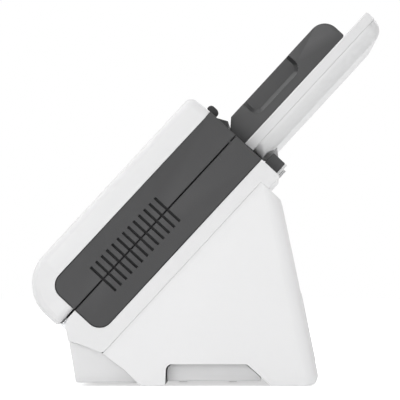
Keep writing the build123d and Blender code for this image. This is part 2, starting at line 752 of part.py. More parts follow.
def make_bottom_cover():
    """Shallow cover under the pan, between the feet. Its ends leave a finger recess at each side."""
    slant = (REAR_FOOT_FRONT_Y - ARCH_REAR_Y) / (ARCH_HEIGHT - FOOT_Z)
    front_y = ARCH_FRONT_Y + 2 * FIT
    top_rear_y = ARCH_REAR_Y - 2 * FIT
    foot_rear_y = top_rear_y + slant * (ARCH_HEIGHT - BOTTOM_COVER_Z)
    top_z = ARCH_HEIGHT - FIT
    face = outline([
        (front_y, BOTTOM_COVER_Z, BOTTOM_COVER_CORNER),
        (foot_rear_y, BOTTOM_COVER_Z, BOTTOM_COVER_CORNER),
        (top_rear_y, top_z, ARCH_CORNER),
        (front_y, top_z, ARCH_CORNER),
    ])
    half = TOE_HALF_WIDTH
    inner = half - BOTTOM_COVER_WALL
    cover = side_bar(face, -half, half)
    cover -= side_bar(offset(face, amount=-BOTTOM_COVER_WALL, kind=Kind.INTERSECTION), -inner, inner)
    low_y = front_y + ARCH_CORNER
    high_y = top_rear_y - ARCH_CORNER
    mouth = Box(2 * inner, high_y - low_y, 2 * BOTTOM_COVER_WALL)
    return cover - Pos(0, (low_y + high_y) / 2, top_z) * mouth


def toe_outline():
    """Side outline of the toe."""
    return [(FRONT_FOOT_Y, FRONT_FOOT_Z, 1.5), *TOE_EDGE]


def outline_toe_block():
    """Whole toe as one block."""
    return side_bar(outline(toe_outline()), -TOE_HALF_WIDTH, TOE_HALF_WIDTH)


def make_front_toe():
    """Narrower toe under the body's foot, which carries the eject flap."""
    face = outline(toe_outline())
    toe = side_bar(face, -TOE_HALF_WIDTH, TOE_HALF_WIDTH)
    inside = TOE_HALF_WIDTH - WALL
    toe -= side_bar(offset(face, amount=-WALL, kind=Kind.INTERSECTION), -inside, inside)
    window_y, window_z = TOE_EDGE[3]
    toe -= Pos(0, window_y, window_z) * Box(2 * (inside - WINDOW_INSET), TOE_WINDOW, TOE_WINDOW)
    return cut_flap_pocket(toe)


# Chassis, paper path and drive

def make_frame(left):
    """Steel side plate with the bush holes and the arm of the door hinge."""
    arm_low, arm_high = FRAME_ARM
    arm_front = HINGE_FORWARD + (arm_high - arm_low) / 2
    corners = [
        slab(arm_low, arm_front, FRAME_FRONT_ROUNDING),
        slab(arm_high, arm_front, FRAME_FRONT_ROUNDING),
        slab(arm_high, -4.0, 2.0),
        slab(18.0, -3.0),
        slab(FRAME_TOP, -9.5),
        slab(FRAME_TOP, REAR_WALL_FACE),
        slab(12.0, REAR_WALL_FACE),
        slab(arm_low, -10.0, 2.0),
    ]
    plate = side_prism(corners, FRAME_INNER, FRAME_OUTER)
    for along, forward in SHAFTS.values():
        plate += rod(along, forward, BUSH_RADIUS + FRAME_EYE, FRAME_INNER, FRAME_OUTER)
        plate -= rod(along, forward, BUSH_RADIUS, FRAME_INNER - 1, FRAME_OUTER + 1)
    through = (FRAME_INNER - 1, FRAME_OUTER + 1)
    plate -= rod(HINGE_ALONG, HINGE_FORWARD, HINGE_PIN_RADIUS, *through)
    if left:
        plate -= rod(MOTOR_ALONG, MOTOR_FORWARD, SHAFT_RADIUS + 1, *through)
        return mirror(plate, Plane.YZ)
    return plate


def make_bushes():
    """Six flanged bushes that carry the three shafts."""
    bushes = []
    for along, forward in SHAFTS.values():
        bore = SHAFT_RADIUS + SHAFT_CLEARANCE
        bush = sleeve(along, forward, BUSH_RADIUS, bore, FRAME_INNER - 1, FRAME_OUTER)
        bush += sleeve(along, forward, BUSH_RADIUS + 1, bore, FRAME_INNER - 1, FRAME_INNER)
        bushes += both_sides(bush)
    return bushes


def roller_windows(along, forward_range, sleeves, reach):
    """Openings in a guide sheet where a row of rollers shows through."""
    windows = []
    for low, high in sleeves:
        x_range = (low - WINDOW_MARGIN, high + WINDOW_MARGIN)
        windows.append(slab_box((along - reach, along + reach), forward_range, x_range))
    return windows


def make_lower_guide():
    """Rear sheet of the paper path, flared to meet the tray, with a top flange."""
    top = BODY_LENGTH - 2 * FIT
    corners = [
        slab(PANEL_FOOT + FIT, -PATH_GAP),
        slab(FLARE_ALONG, -PATH_GAP),
        slab(top, -TRAY_FACE),
        slab(top, -PANEL_HALF_DEPTH + FIT),
        slab(top - GUIDE_SHEET, -PANEL_HALF_DEPTH + FIT),
        slab(top - GUIDE_SHEET, -TRAY_FACE - GUIDE_SHEET),
        slab(FLARE_ALONG, -PATH_GAP - GUIDE_SHEET),
        slab(PANEL_FOOT + FIT, -PATH_GAP - GUIDE_SHEET),
    ]
    sheet = side_prism(corners, -FRAME_INNER, FRAME_INNER)
    depth = (-FEED_RADIUS - 2 * WINDOW_MARGIN, PATH_GAP)
    for window in roller_windows(FEED_ALONG, depth, FEED_SLEEVES, FEED_RADIUS + WINDOW_MARGIN):
        sheet -= window
    for name in ("transport", "exit"):
        reach = TRANSPORT_RADIUS + WINDOW_MARGIN
        for window in roller_windows(SHAFTS[name][0], depth, TRANSPORT_SLEEVES, reach):
            sheet -= window
    sheet -= slab_box((SENSOR_FOOT, SENSOR_TOP), depth, (-GLASS_HALF_WIDTH, GLASS_HALF_WIDTH))
    hook_window = (HOOK_X[0] - 2 * WINDOW_MARGIN, HOOK_X[1] + 2 * WINDOW_MARGIN)
    sheet -= slab_box(HOOK_WINDOW, depth, hook_window)
    for along, forward in SHAFTS.values():
        seat = rod(along, forward, BUSH_RADIUS + 1 + FIT, FRAME_INNER - 1 - FIT, FRAME_INNER + 1)
        for piece in both_sides(seat):
            sheet -= piece
    return sheet


def make_upper_guide():
    """Door side of the paper path, with cheeks and brackets for the idlers."""
    near = PATH_GAP
    far = PATH_GAP + GUIDE_SHEET
    guide = slab_box((PATH_FOOT, PATH_TOP), (near, far), (-PATH_HALF_WIDTH, PATH_HALF_WIDTH))
    cheek_x = (PATH_HALF_WIDTH, CHEEK_OUTER)
    cheek_foot, cheek_low = CHEEK_FOOT
    corners = [
        slab(cheek_foot, near),
        slab(PATH_TOP, near),
        slab(PATH_TOP, FRONT_DEPTH - WALL),
        slab(CHEEK_SLOPE_TOP, FRONT_DEPTH - WALL),
        slab(cheek_foot, cheek_low),
    ]
    for cheek in both_sides(side_prism(corners, *cheek_x)):
        guide += cheek
    depth = (near - 1, far + 1)
    for window in roller_windows(FEED_ALONG, depth, FEED_SLEEVES, SEPARATION_RADIUS + WINDOW_MARGIN):
        guide -= window
    for name in ("transport", "exit"):
        reach = IDLER_RADIUS + WINDOW_MARGIN
        for window in roller_windows(IDLERS[name][0], depth, TRANSPORT_SLEEVES, reach):
            guide -= window
    guide -= slab_box((SENSOR_FOOT, SENSOR_TOP), depth, (-GLASS_HALF_WIDTH, GLASS_HALF_WIDTH))
    guide -= slab_box(HOOK_WINDOW, depth, (HOOK_X[0] - WINDOW_MARGIN, HOOK_X[1] + WINDOW_MARGIN))
    bracket_ends = (FEED_ALONG - BRACKET_HALF_LENGTH, FEED_ALONG + BRACKET_HALF_LENGTH)
    for bracket in both_sides(slab_box(bracket_ends, (near, BRACKET_DEPTH), BRACKET_X)):
        guide += bracket
    bore = IDLER_SHAFT_RADIUS + SHAFT_CLEARANCE
    for along, forward in [*IDLERS.values(), SEPARATION]:
        guide -= rod(along, forward, bore, -CHEEK_OUTER - 1, CHEEK_OUTER + 1)
    return guide - rod(LATCH_PIVOT_ALONG, LATCH_PIVOT_FORWARD, LATCH_PIN_RADIUS, LATCH_HUB_X, CHEEK_OUTER + 1)


def make_idlers(name):
    """Free rollers on one thin shaft, turned by the paper."""
    along, forward = IDLERS[name]
    piece = rod(along, forward, IDLER_SHAFT_RADIUS, -CHEEK_OUTER, CHEEK_OUTER)
    for low, high in TRANSPORT_SLEEVES:
        piece += rod(along, forward, IDLER_RADIUS, low, high)
    return piece


def make_separation_roller():
    """Retard roller that holds back the second sheet."""
    along, forward = SEPARATION
    piece = rod(along, forward, IDLER_SHAFT_RADIUS, -BRACKET_X[1], BRACKET_X[1])
    for low, high in FEED_SLEEVES:
        piece += rod(along, forward, SEPARATION_RADIUS, low, high)
    return piece


def make_sensor(side, half_width):
    """Contact image sensor behind one guide sheet."""
    near = PATH_GAP + GUIDE_SHEET
    forward = sorted((side * near, side * (near + SENSOR_DEPTH)))
    return slab_box((SENSOR_FOOT - 2, SENSOR_TOP + 2), forward, (-half_width, half_width))


def make_sensor_glass(side):
    """Window flush with one guide sheet."""
    forward = sorted((side * PATH_GAP, side * (PATH_GAP + GUIDE_SHEET)))
    half = GLASS_HALF_WIDTH - GLASS_FIT
    return slab_box((SENSOR_FOOT + GLASS_FIT, SENSOR_TOP - GLASS_FIT), forward, (-half, half))


def make_shaft(name):
    """Steel shaft through both bushes, longer on the drive side."""
    along, forward = SHAFTS[name]
    return rod(along, forward, SHAFT_RADIUS, -PULLEY_PLANE - BELT_WIDTH - 1, FRAME_OUTER + SHAFT_OVERHANG)


def make_sleeves(name):
    """Rubber sleeves on one shaft."""
    along, forward = SHAFTS[name]
    radius = FEED_RADIUS if name == "feed" else TRANSPORT_RADIUS
    spans = FEED_SLEEVES if name == "feed" else TRANSPORT_SLEEVES
    return [sleeve(along, forward, radius, SHAFT_RADIUS, low, high) for low, high in spans]


def pulley_radius(name):
    """The feed shaft runs slower than the other two."""
    return FEED_PULLEY_RADIUS if name == "feed" else PULLEY_RADIUS


def make_pulley(name):
    """Belt pulley with two rims, one piece with its shaft."""
    along, forward = SHAFTS[name]
    radius = pulley_radius(name)
    low = -PULLEY_PLANE - BELT_WIDTH - PULLEY_MARGIN
    high = -PULLEY_PLANE + PULLEY_MARGIN
    piece = rod(along, forward, radius, low, high)
    for rim_low in (low - PULLEY_RIM, high):
        piece += rod(along, forward, radius + BELT_THICKNESS, rim_low, rim_low + PULLEY_RIM)
    return piece


def belt_loop(clearance):
    """Face of the belt's path round the three pulleys."""
    rings = []
    for name, (along, forward) in SHAFTS.items():
        y, z, _ = slab(along, forward)
        rings.append(Pos(y, z) * CenterArc((0, 0), pulley_radius(name) + clearance, 0, 360))
    return make_hull([edge for ring in rings for edge in ring.edges()])


def make_belt():
    """Timing belt as a closed band round the pulleys."""
    band = belt_loop(FIT + BELT_THICKNESS) - belt_loop(FIT)
    return side_bar(band, -PULLEY_PLANE - BELT_WIDTH, -PULLEY_PLANE)


def mesh_turns():
    """Starting angles that put a pinion gap over a gear tooth."""
    y0, z0, _ = slab(*SHAFTS["transport"])
    y1, z1, _ = slab(MOTOR_ALONG, MOTOR_FORWARD)
    toward = math.degrees(math.atan2(y1 - y0, z0 - z1))
    return toward, toward + 180 + 180 / PINION_TEETH


def make_transport_gear():
    """Gear pressed on the transport shaft."""
    turn, _ = mesh_turns()
    wheel = gear(TRANSPORT_TEETH, GEAR_MODULE, GEAR_WIDTH, GEAR_BACKLASH, turn)
    along, forward = SHAFTS["transport"]
    wheel = place_on_shaft(wheel, along, forward, -GEAR_PLANE - GEAR_WIDTH)
    return wheel - rod(along, forward, SHAFT_RADIUS, -HALF, -FRAME_INNER)


def make_motor_pinion():
    """Pinion with the motor's own shaft."""
    _, turn = mesh_turns()
    wheel = gear(PINION_TEETH, GEAR_MODULE, GEAR_WIDTH, GEAR_BACKLASH, turn)
    wheel = place_on_shaft(wheel, MOTOR_ALONG, MOTOR_FORWARD, -GEAR_PLANE - GEAR_WIDTH)
    shaft_end = -FRAME_INNER + MOTOR_LENGTH - MOTOR_BACK
    return wheel + rod(MOTOR_ALONG, MOTOR_FORWARD, MOTOR_SHAFT_RADIUS, -GEAR_PLANE - GEAR_WIDTH, shaft_end)


def make_motor():
    """Drive motor on the inner face of the left frame."""
    low = -FRAME_INNER
    can = rod(MOTOR_ALONG, MOTOR_FORWARD, MOTOR_RADIUS, low, low + MOTOR_LENGTH)
    bore_end = low + MOTOR_LENGTH - MOTOR_BACK + 1
    return can - rod(MOTOR_ALONG, MOTOR_FORWARD, MOTOR_SHAFT_RADIUS + SHAFT_CLEARANCE, low - 1, bore_end)


def make_latch():
    """Release lever: knob, arm, hub and the hook that reaches over the catch."""
    along, forward = LATCH_PIVOT_ALONG, LATCH_PIVOT_FORWARD
    half = LATCH_WIDTH / 2
    knob = side_prism(
        [
            slab(BODY_LENGTH + FIT, KNOB_FORWARD[0], KNOB_ROUNDING / 3),
            slab(KNOB_TOP, KNOB_FORWARD[0], KNOB_ROUNDING),
            slab(KNOB_TOP, KNOB_FORWARD[1], KNOB_ROUNDING),
            slab(BODY_LENGTH + FIT, KNOB_FORWARD[1], KNOB_ROUNDING / 3),
        ],
        LATCH_X - half,
        LATCH_X + half,
    )
    neck_x = (LATCH_HUB_X, LATCH_X + LATCH_WIDTH / 3)
    neck = slab_box((along, BODY_LENGTH + 1), (forward - LATCH_HUB_RADIUS / 2, forward), neck_x)
    hub = rod(along, forward, LATCH_HUB_RADIUS, LATCH_HUB_X, HOOK_X[1])
    arm_low, arm_high = LATCH_ARM
    nose_along = CATCH_ALONG + CATCH_RADIUS + FIT
    nose_end = CATCH_FORWARD - LATCH_NOSE
    arm = side_prism(
        [
            slab(along - LATCH_HUB_RADIUS / 2, forward),
            slab(along + LATCH_HUB_RADIUS - 1, forward + 2),
            slab(arm_high, forward - 7),
            slab(arm_high, nose_end, 1.0),
            slab(nose_along, nose_end),
            slab(nose_along, nose_end + 2),
            slab(arm_low, nose_end + 3),
            slab(arm_low, forward - 9),
        ],
        *HOOK_X,
    )
    lever = knob + neck + hub + arm
    return lever - rod(along, forward, LATCH_PIN_RADIUS + SHAFT_CLEARANCE, LATCH_RIB_X[0], CHEEK_OUTER)


def make_latch_pin():
    """Pin between the cover's rib and the paper guide's cheek."""
    return rod(LATCH_PIVOT_ALONG, LATCH_PIVOT_FORWARD, LATCH_PIN_RADIUS, LATCH_RIB_X[0], CHEEK_OUTER)


def make_latch_rib():
    """Rib on the cover that holds the inner end of the latch pin."""
    reach = LATCH_HUB_RADIUS
    ends = (LATCH_PIVOT_ALONG - reach, LATCH_PIVOT_ALONG + reach)
    rib = slab_box(ends, (LATCH_PIVOT_FORWARD - reach, FRONT_DEPTH - WALL), LATCH_RIB_X)
    bore = rod(LATCH_PIVOT_ALONG, LATCH_PIVOT_FORWARD, LATCH_PIN_RADIUS, LATCH_RIB_X[0] - 1, LATCH_HUB_X)
    return rib - bore


def make_inlet_lip():
    """Dark wedge along the door's top edge, over the paper inlet."""
    nose_along, nose_forward = LIP_NOSE
    corners = [
        slab(LIP_FOOT + 1.2, PATH_GAP + 0.7),
        slab(nose_along - 2.9, nose_forward - 2.9),
        slab(nose_along, nose_forward, 0.6),
        slab(BODY_LENGTH + 0.2, LIP_BACK - 1),
        slab(BODY_LENGTH - 0.2, LIP_BACK),
        slab(BODY_LENGTH - WALL, LIP_BACK),
        slab(BODY_LENGTH - WALL, LIP_BACK - 4.2),
        slab(LIP_FOOT, PATH_GAP + 5),
        slab(LIP_FOOT, PATH_GAP + 0.7),
    ]
    return side_prism(corners, -FRAME_INNER, FRAME_INNER)


def make_catch_pin():
    """Pin on the right frame that the latch hook reaches over."""
    return rod(CATCH_ALONG, CATCH_FORWARD, CATCH_RADIUS, HOOK_X[0] - 0.5, FRAME_INNER)


def make_hinge_pin():
    """Fixed pin of the door hinge, right-hand side."""
    return rod(HINGE_ALONG, HINGE_FORWARD, HINGE_PIN_RADIUS, FRAME_INNER, HINGE_BOSS_X[1])


def make_stay_bars():
    """Two steel bars between the side frames."""
    forward = (REAR_WALL_FACE + 1, REAR_WALL_FACE + 1 + STAY_DEPTH)
    return [slab_box(ends, forward, (-FRAME_INNER, FRAME_INNER)) for ends in STAY_ALONG]


# Input tray

def make_input_tray():
    """White tray: the sheet face with its slots, side walls and end wall."""
    wide = TRAY_HALF_WIDTH
    tray = slab_box((TRAY_FOOT, TRAY_END), (-TRAY_SEAM, -TRAY_FACE), (-wide, wide))
    inner = wide - WALL
    hollow_ends = (TRAY_FOOT + WALL, TRAY_END - WALL)
    tray -= slab_box(hollow_ends, (-TRAY_SEAM - 1, -TRAY_FACE - TRAY_PLATE), (-inner, inner))
    top_edges = tray.edges().filter_by(on_tray_face)
    tray = chamfer(top_edges, length=TRAY_CHAMFER)
    slot = guide_slot(RACK_ALONG + GUIDE_PINION_TEETH / 2)
    tray -= slot
    tray -= half_turn_about_stud(slot)
    for along in ((TRAY_FOOT + 4, RACK_ALONG - RIB_GAP), (RACK_ALONG + RIB_GAP, TRAY_END - 4)):
        for rib_x in (-TRAY_RIB_X, TRAY_RIB_X):
            tray += slab_box(along, (-EXTENSION_DEPTH + FIT, -TRAY_FACE - 1), (rib_x - 1, rib_x + 1))
    stud_top = TRAY_FACE + TRAY_PLATE + FIT + RACK_THICKNESS
    return tray + face_plug(0.0, RACK_ALONG, -stud_top, STUD_RADIUS, stud_top - TRAY_FACE - 1)


def on_tray_face(edge):
    """True for the long and end edges of the tray's sheet face."""
    middle = edge.center()
    y = middle.Y - PARTING_FOOT_Y
    z = middle.Z - PARTING_FOOT_Z
    along = SLOPE_COS * y + SLOPE_SIN * z
    forward = -SLOPE_SIN * y + SLOPE_COS * z
    on_end = abs(abs(middle.X) - TRAY_HALF_WIDTH) < 0.01 or abs(along - TRAY_END) < 0.01
    return on_end and abs(forward + TRAY_FACE) < 0.01


def half_turn_about_stud(piece):
    """Half turn about the pinion stud, which carries one guide onto the other."""
    y, z, _ = slab(RACK_ALONG, 0.0)
    axis = Axis((0, y, z), (0, -SLOPE_SIN, SLOPE_COS))
    return piece.rotate(axis, 180)


def guide_slot(along):
    """Slot in the tray's face for the foot of the right guide."""
    low_x = GUIDE_OUTER - GUIDE_WIDTH - GUIDE_TRAVEL - 1
    ends = (along - FOOT_LENGTH / 2 - FIT, along + FOOT_LENGTH / 2 + FIT)
    return slab_box(ends, (-TRAY_FACE - TRAY_PLATE - 1, -TRAY_FACE + 1), (low_x, GUIDE_OUTER))


def make_tray_cover():
    """White crowned back of the tray, with the two hinge lugs."""
    wide = TRAY_HALF_WIDTH
    corners = [
        slab(TRAY_FOOT, -TRAY_SEAM),
        slab(TRAY_END, -TRAY_SEAM),
        slab(TRAY_END, -TRAY_BACK, TRAY_CORNER),
        slab(TRAY_FOOT, -TRAY_BACK, TRAY_CHAMFER),
    ]
    outer = side_prism(corners, -wide, wide)
    back_edges = outer.edges().filter_by(on_tray_back)
    outer = fillet(back_edges, radius=TRAY_CROWN)
    inner_corners = [
        slab(TRAY_FOOT + WALL, -TRAY_SEAM + 1),
        slab(TRAY_END - WALL, -TRAY_SEAM + 1),
        slab(TRAY_END - WALL, -TRAY_BACK + WALL, TRAY_CORNER - WALL),
        slab(TRAY_FOOT + WALL, -TRAY_BACK + WALL),
    ]
    hollow = side_prism(inner_corners, -wide + TRAY_CROWN, wide - TRAY_CROWN)
    cover = outer - hollow
    slot_half = EXTENSION_HALF_WIDTH + FIT
    rib_face = -EXTENSION_DEPTH - EXTENSION_SHEET - FIT
    cover -= slab_box((TRAY_END - 2 * WALL, TRAY_END + 1), (rib_face, 0), (-slot_half, slot_half))
    rib_ends = (TRAY_FOOT + 2 * WALL, TRAY_END - 2 * WALL)
    for rib_x in (-COVER_RIB_X, COVER_RIB_X):
        cover += slab_box(rib_ends, (-TRAY_BACK + 1, rib_face), (rib_x - 1, rib_x + 1))
    relief = rod(TRAY_PIVOT_ALONG, -TRAY_PIVOT_DEPTH, RELIEF_RADIUS, LUG_X[1], wide + 1)
    for piece in both_sides(relief):
        cover -= piece
    root_low, root_high = LUG_ROOT
    lug = side_prism(
        [
            slab(TRAY_PIVOT_ALONG - root_low, -TRAY_BACK + 1),
            slab(TRAY_PIVOT_ALONG + root_high, -TRAY_BACK + 1),
            slab(TRAY_PIVOT_ALONG + root_low, -TRAY_PIVOT_DEPTH),
            slab(TRAY_PIVOT_ALONG - root_low, -TRAY_PIVOT_DEPTH),
        ],
        *LUG_X,
    )
    lug += rod(TRAY_PIVOT_ALONG, -TRAY_PIVOT_DEPTH, TRAY_EYE_RADIUS, *LUG_X)
    for piece in both_sides(lug):
        cover += piece
    bore_radius = TRAY_PIN_RADIUS + SHAFT_CLEARANCE
    bore = rod(TRAY_PIVOT_ALONG, -TRAY_PIVOT_DEPTH, bore_radius, LUG_X[0] - 1, LUG_X[1] + 1)
    for piece in both_sides(bore):
        cover -= piece
    return cover


def on_tray_back(edge):
    """True for the edges round the tray's back, apart from the foot."""
    middle = edge.center()
    y = middle.Y - PARTING_FOOT_Y
    z = middle.Z - PARTING_FOOT_Z
    forward = -SLOPE_SIN * y + SLOPE_COS * z
    on_end = abs(abs(middle.X) - TRAY_HALF_WIDTH) < 0.01
    along = SLOPE_COS * y + SLOPE_SIN * z
    return on_end and forward < -TRAY_SEAM - 0.5 and along > TRAY_FOOT + 2


def make_hinge_blocks():
    """Dark square blocks behind the tray's foot that hold its hinge."""
    length, depth = HINGE_BLOCK_SIZE
    low_along = TRAY_PIVOT_ALONG - length / 2
    low_forward = -TRAY_PIVOT_DEPTH - depth / 2
    block = slab_box((BODY_LENGTH, low_along + length), (low_forward, low_forward + depth), BLOCK_X)
    block = chamfer(block.edges().filter_by(Axis.X), length=BLOCK_CHAMFER)
    block -= rod(TRAY_PIVOT_ALONG, -TRAY_PIVOT_DEPTH, TRAY_PIN_RADIUS, BLOCK_X[0] - 1, TRAY_PIN_END)
    return both_sides(block)


def make_tray_pins():
    """Hinge pins fixed in the blocks, running in the tray's lugs."""
    return both_sides(rod(TRAY_PIVOT_ALONG, -TRAY_PIVOT_DEPTH, TRAY_PIN_RADIUS, LUG_X[0], TRAY_PIN_END))


def guide_outline():
    """Side outline of a paper guide."""
    rear = -TRAY_FACE + FIT
    toe_along, toe_forward = GUIDE_TOE
    return [
        slab(toe_along, toe_forward),
        slab(GUIDE_CHIN, GUIDE_FRONT, 0.8),
        slab(GUIDE_TOP, GUIDE_FRONT, GUIDE_CORNER),
        slab(GUIDE_TOP, rear, 1.5),
        slab(TRAY_FOOT + 2 * FIT, rear),
        slab(toe_along, -4.0),
    ]


def make_guide_body():
    """Right paper guide above the tray, with its finger grip."""
    low_x = GUIDE_OUTER - GUIDE_WIDTH
    guide = side_prism(guide_outline(), low_x, GUIDE_OUTER)
    grip = side_prism(
        [
            slab(GRIP_FOOT, GUIDE_FRONT + GRIP_SLANT + 1),
            slab(GRIP_FOOT, GRIP_REACH, GRIP_CORNER),
            slab(GRIP_TOP, GRIP_REACH, GRIP_CORNER),
            slab(GRIP_TOP, GUIDE_FRONT + GRIP_SLANT + 1),
        ],
        GUIDE_OUTER - GRIP_DEPTH,
        GUIDE_OUTER + 1,
    )
    grip_edges = grip.edges().filter_by(lambda e: abs(e.center().X - GUIDE_OUTER + GRIP_DEPTH) < 0.01)
    grip = chamfer(grip_edges, length=GRIP_SLANT)
    return guide - grip


def make_guide_foot():
    """Foot of the right guide through the tray's slot, with its rack."""
    low_x = GUIDE_OUTER - GUIDE_WIDTH
    mesh_along = RACK_ALONG + GUIDE_PINION_TEETH / 2
    rack_back = -(TRAY_FACE + TRAY_PLATE + FIT + RACK_THICKNESS)
    foot_ends = (mesh_along - FOOT_LENGTH / 2 + RACK_TOOTH_ROOT + FIT, mesh_along + FOOT_LENGTH / 2)
    foot = slab_box(foot_ends, (rack_back, -TRAY_FACE + 1), (low_x, GUIDE_OUTER - 1))
    return foot + make_rack(mesh_along, rack_back, low_x)


def make_guides():
    """Both guides. The left one has the same foot, turned half round the stud."""
    body = make_guide_body()
    foot = make_guide_foot()
    return body + foot, mirror(body, Plane.YZ) + half_turn_about_stud(foot)


def make_rack(mesh_along, rack_back, high_x):
    """Toothed bar that runs past the pinion; a gap faces the pinion's tooth."""
    pitch = math.pi
    tooth_count = math.ceil((GUIDE_TRAVEL + RACK_RUN_PAST) / pitch)
    half = (pitch / 2 - GEAR_BACKLASH) / 2
    low_x = -pitch * 3
    root = RACK_TOOTH_ROOT
    points = [(high_x, root), (high_x, RACK_BACK), (low_x, RACK_BACK), (low_x, root)]
    for index in range(-2, tooth_count):
        centre = (index - 0.5) * pitch
        points.append((centre - half * 1.5, root))
        points.append((centre - half * 0.5, -RACK_TOOTH_TIP))
        points.append((centre + half * 0.5, -RACK_TOOTH_TIP))
        points.append((centre + half * 1.5, root))
    y, z, _ = slab(mesh_along, rack_back)
    upward = (0, -SLOPE_SIN, SLOPE_COS)
    plane = Plane(origin=(0, y, z), x_dir=(1, 0, 0), z_dir=upward)
    return extrude(plane * Polygon(*points, align=None), amount=RACK_THICKNESS, dir=upward)


def make_guide_pinion():
    """Small gear that makes the two guides move together."""
    wheel = gear(GUIDE_PINION_TEETH, 1.0, RACK_THICKNESS, GEAR_BACKLASH, 90.0)
    wheel -= Cylinder(STUD_RADIUS + SHAFT_CLEARANCE, 3 * RACK_THICKNESS)
    y, z, _ = slab(RACK_ALONG, -(TRAY_FACE + TRAY_PLATE + FIT + RACK_THICKNESS))
    plane = Plane(origin=(0, y, z), x_dir=(1, 0, 0), z_dir=(0, -SLOPE_SIN, SLOPE_COS))
    return plane * wheel


def make_tray_extension():
    """Sliding sheet that lengthens the tray, with a finger notch at its end."""
    half = EXTENSION_HALF_WIDTH
    high_forward = -EXTENSION_DEPTH
    ends = (TRAY_END - EXTENSION_TRAVEL - EXTENSION_OVERLAP, TRAY_END - EXTENSION_END_GAP)
    sheet = slab_box(ends, (high_forward - EXTENSION_SHEET, high_forward), (-half, half))
    notch = face_plug(0.0, TRAY_END + NOTCH_OFFSET, high_forward - 2 * EXTENSION_SHEET, NOTCH_RADIUS, 10.0)
    return sheet - notch


# Eject flap

def front_line_y(z):
    """Y of the stand's sloping front at a height."""
    share = (z - FRONT_FOOT_Z) / (FRONT_TOP[1] - FRONT_FOOT_Z)
    return FRONT_FOOT_Y + share * (FRONT_TOP[0] - FRONT_FOOT_Y)


def front_strip(low_z, high_z, near, far, x_range, low_round=0.0):
    """Bar parallel to the sloping front, between two depths behind it."""
    corners = [
        (front_line_y(low_z) + near, low_z, low_round),
        (front_line_y(high_z) + near, high_z, 0.8),
        (front_line_y(high_z) + far, high_z),
        (front_line_y(low_z) + far, low_z, low_round),
    ]
    return side_prism(corners, *x_range)


def flap_pivot():
    """Centre of the flap's lower edge, as (y, z)."""
    return (front_line_y(FLAP_PIVOT_Z) + FLAP_FACE + FLAP_THICKNESS / 2, FLAP_PIVOT_Z)


def flap_rod(radius, x_low, x_high):
    """Round bar along X on the flap's hinge line."""
    y, z = flap_pivot()
    return Pos(x_low, y, z) * Rot(0, 90, 0) * Cylinder(radius, x_high - x_low, align=CENTRE_MIN)


def make_eject_flap():
    """Flap that folds down in front to catch the sheets."""
    half = FLAP_HALF_WIDTH
    foot = FLAP_PIVOT_Z
    flap = front_strip(foot, FLAP_TOP_Z, FLAP_FACE, FLAP_FACE + FLAP_THICKNESS, (-half, half))
    flap += flap_rod(FLAP_THICKNESS / 2 - FLAP_ROUND_GAP, -half, half)
    for trunnion in both_sides(flap_rod(TRUNNION_RADIUS, half - 1, half + TRUNNION_LENGTH)):
        flap += trunnion
    return flap


def cut_flap_pocket(toe):
    """Recess of the toe for the flap, closed behind, with bearings at its ends."""
    half = FLAP_HALF_WIDTH + FIT
    depth = FLAP_FACE + FLAP_THICKNESS + FIT
    wall = front_strip(FRONT_FOOT_Z + FIT, FLAP_TOP_Z, depth, depth + WALL, (-half - WALL, half + WALL))
    toe -= front_strip(FRONT_FOOT_Z - WALL, FLAP_TOP_Z + FIT, -WALL, depth, (-half, half))
    toe += wall & outline_toe_block()
    for boss in both_sides(flap_rod(FLAP_PIVOT_Z - FRONT_FOOT_Z, half, half + TRUNNION_LENGTH + WALL)):
        toe += boss & outline_toe_block()
    bore_end = FLAP_HALF_WIDTH + TRUNNION_LENGTH + FIT
    for bore in both_sides(flap_rod(TRUNNION_RADIUS + SHAFT_CLEARANCE, half - 1, bore_end)):
        toe -= bore
    return toe


# Electronics and fasteners

def make_main_board():
    """Circuit board over the base pan, with chips and connectors."""
    low_x, high_x, low_y, high_y = BOARD_AREA
    middle = Pos((low_x + high_x) / 2, (low_y + high_y) / 2, BOARD_Z)
    board = middle * Box(high_x - low_x, high_y - low_y, BOARD_THICKNESS, align=CENTRE_MIN)
    for x, y, width, depth, height in BOARD_PARTS:
        board += Pos(x, y, BOARD_TOP) * Box(width, depth, height, align=CENTRE_MIN)
    for x, y in board_holes():
        board -= upright_bar(x, y, BOARD_Z - 1, BOARD_HOLE, BOARD_THICKNESS + 2)
    return board


def board_holes():
    """Places of the four board screws."""
    low_x, high_x, low_y, high_y = BOARD_AREA
    inset = BOARD_HOLE_INSET
    return [(x, y) for x in (low_x + inset, high_x - inset) for y in (low_y + inset, high_y - inset)]


def make_board_posts():
    """Four pillars between the base pan and the board, with screws through them."""
    floor = ARCH_HEIGHT + WALL
    posts = []
    for x, y in board_holes():
        post = upright_bar(x, y, floor, POST_RADIUS, BOARD_Z - floor)
        post += upright_bar(x, y, floor, BOARD_HOLE, BOARD_TOP - floor)
        post += upright_bar(x, y, BOARD_TOP, SCREW_HEAD_RADIUS, SCREW_HEAD_HEIGHT)
        posts.append(post)
    return posts


def make_power_jack():
    """Round socket for the power adapter's plug."""
    width, depth, height = JACK_SIZE
    body = Pos(JACK_X, PORT_FACE_Y - depth / 2, BOARD_TOP) * Box(width, depth, height, align=CENTRE_MIN)
    bore = Cylinder(JACK_BORE_RADIUS, 2 * JACK_DEPTH)
    return body - Pos(JACK_X, PORT_FACE_Y, BOARD_TOP + height / 2) * Rot(90, 0, 0) * bore


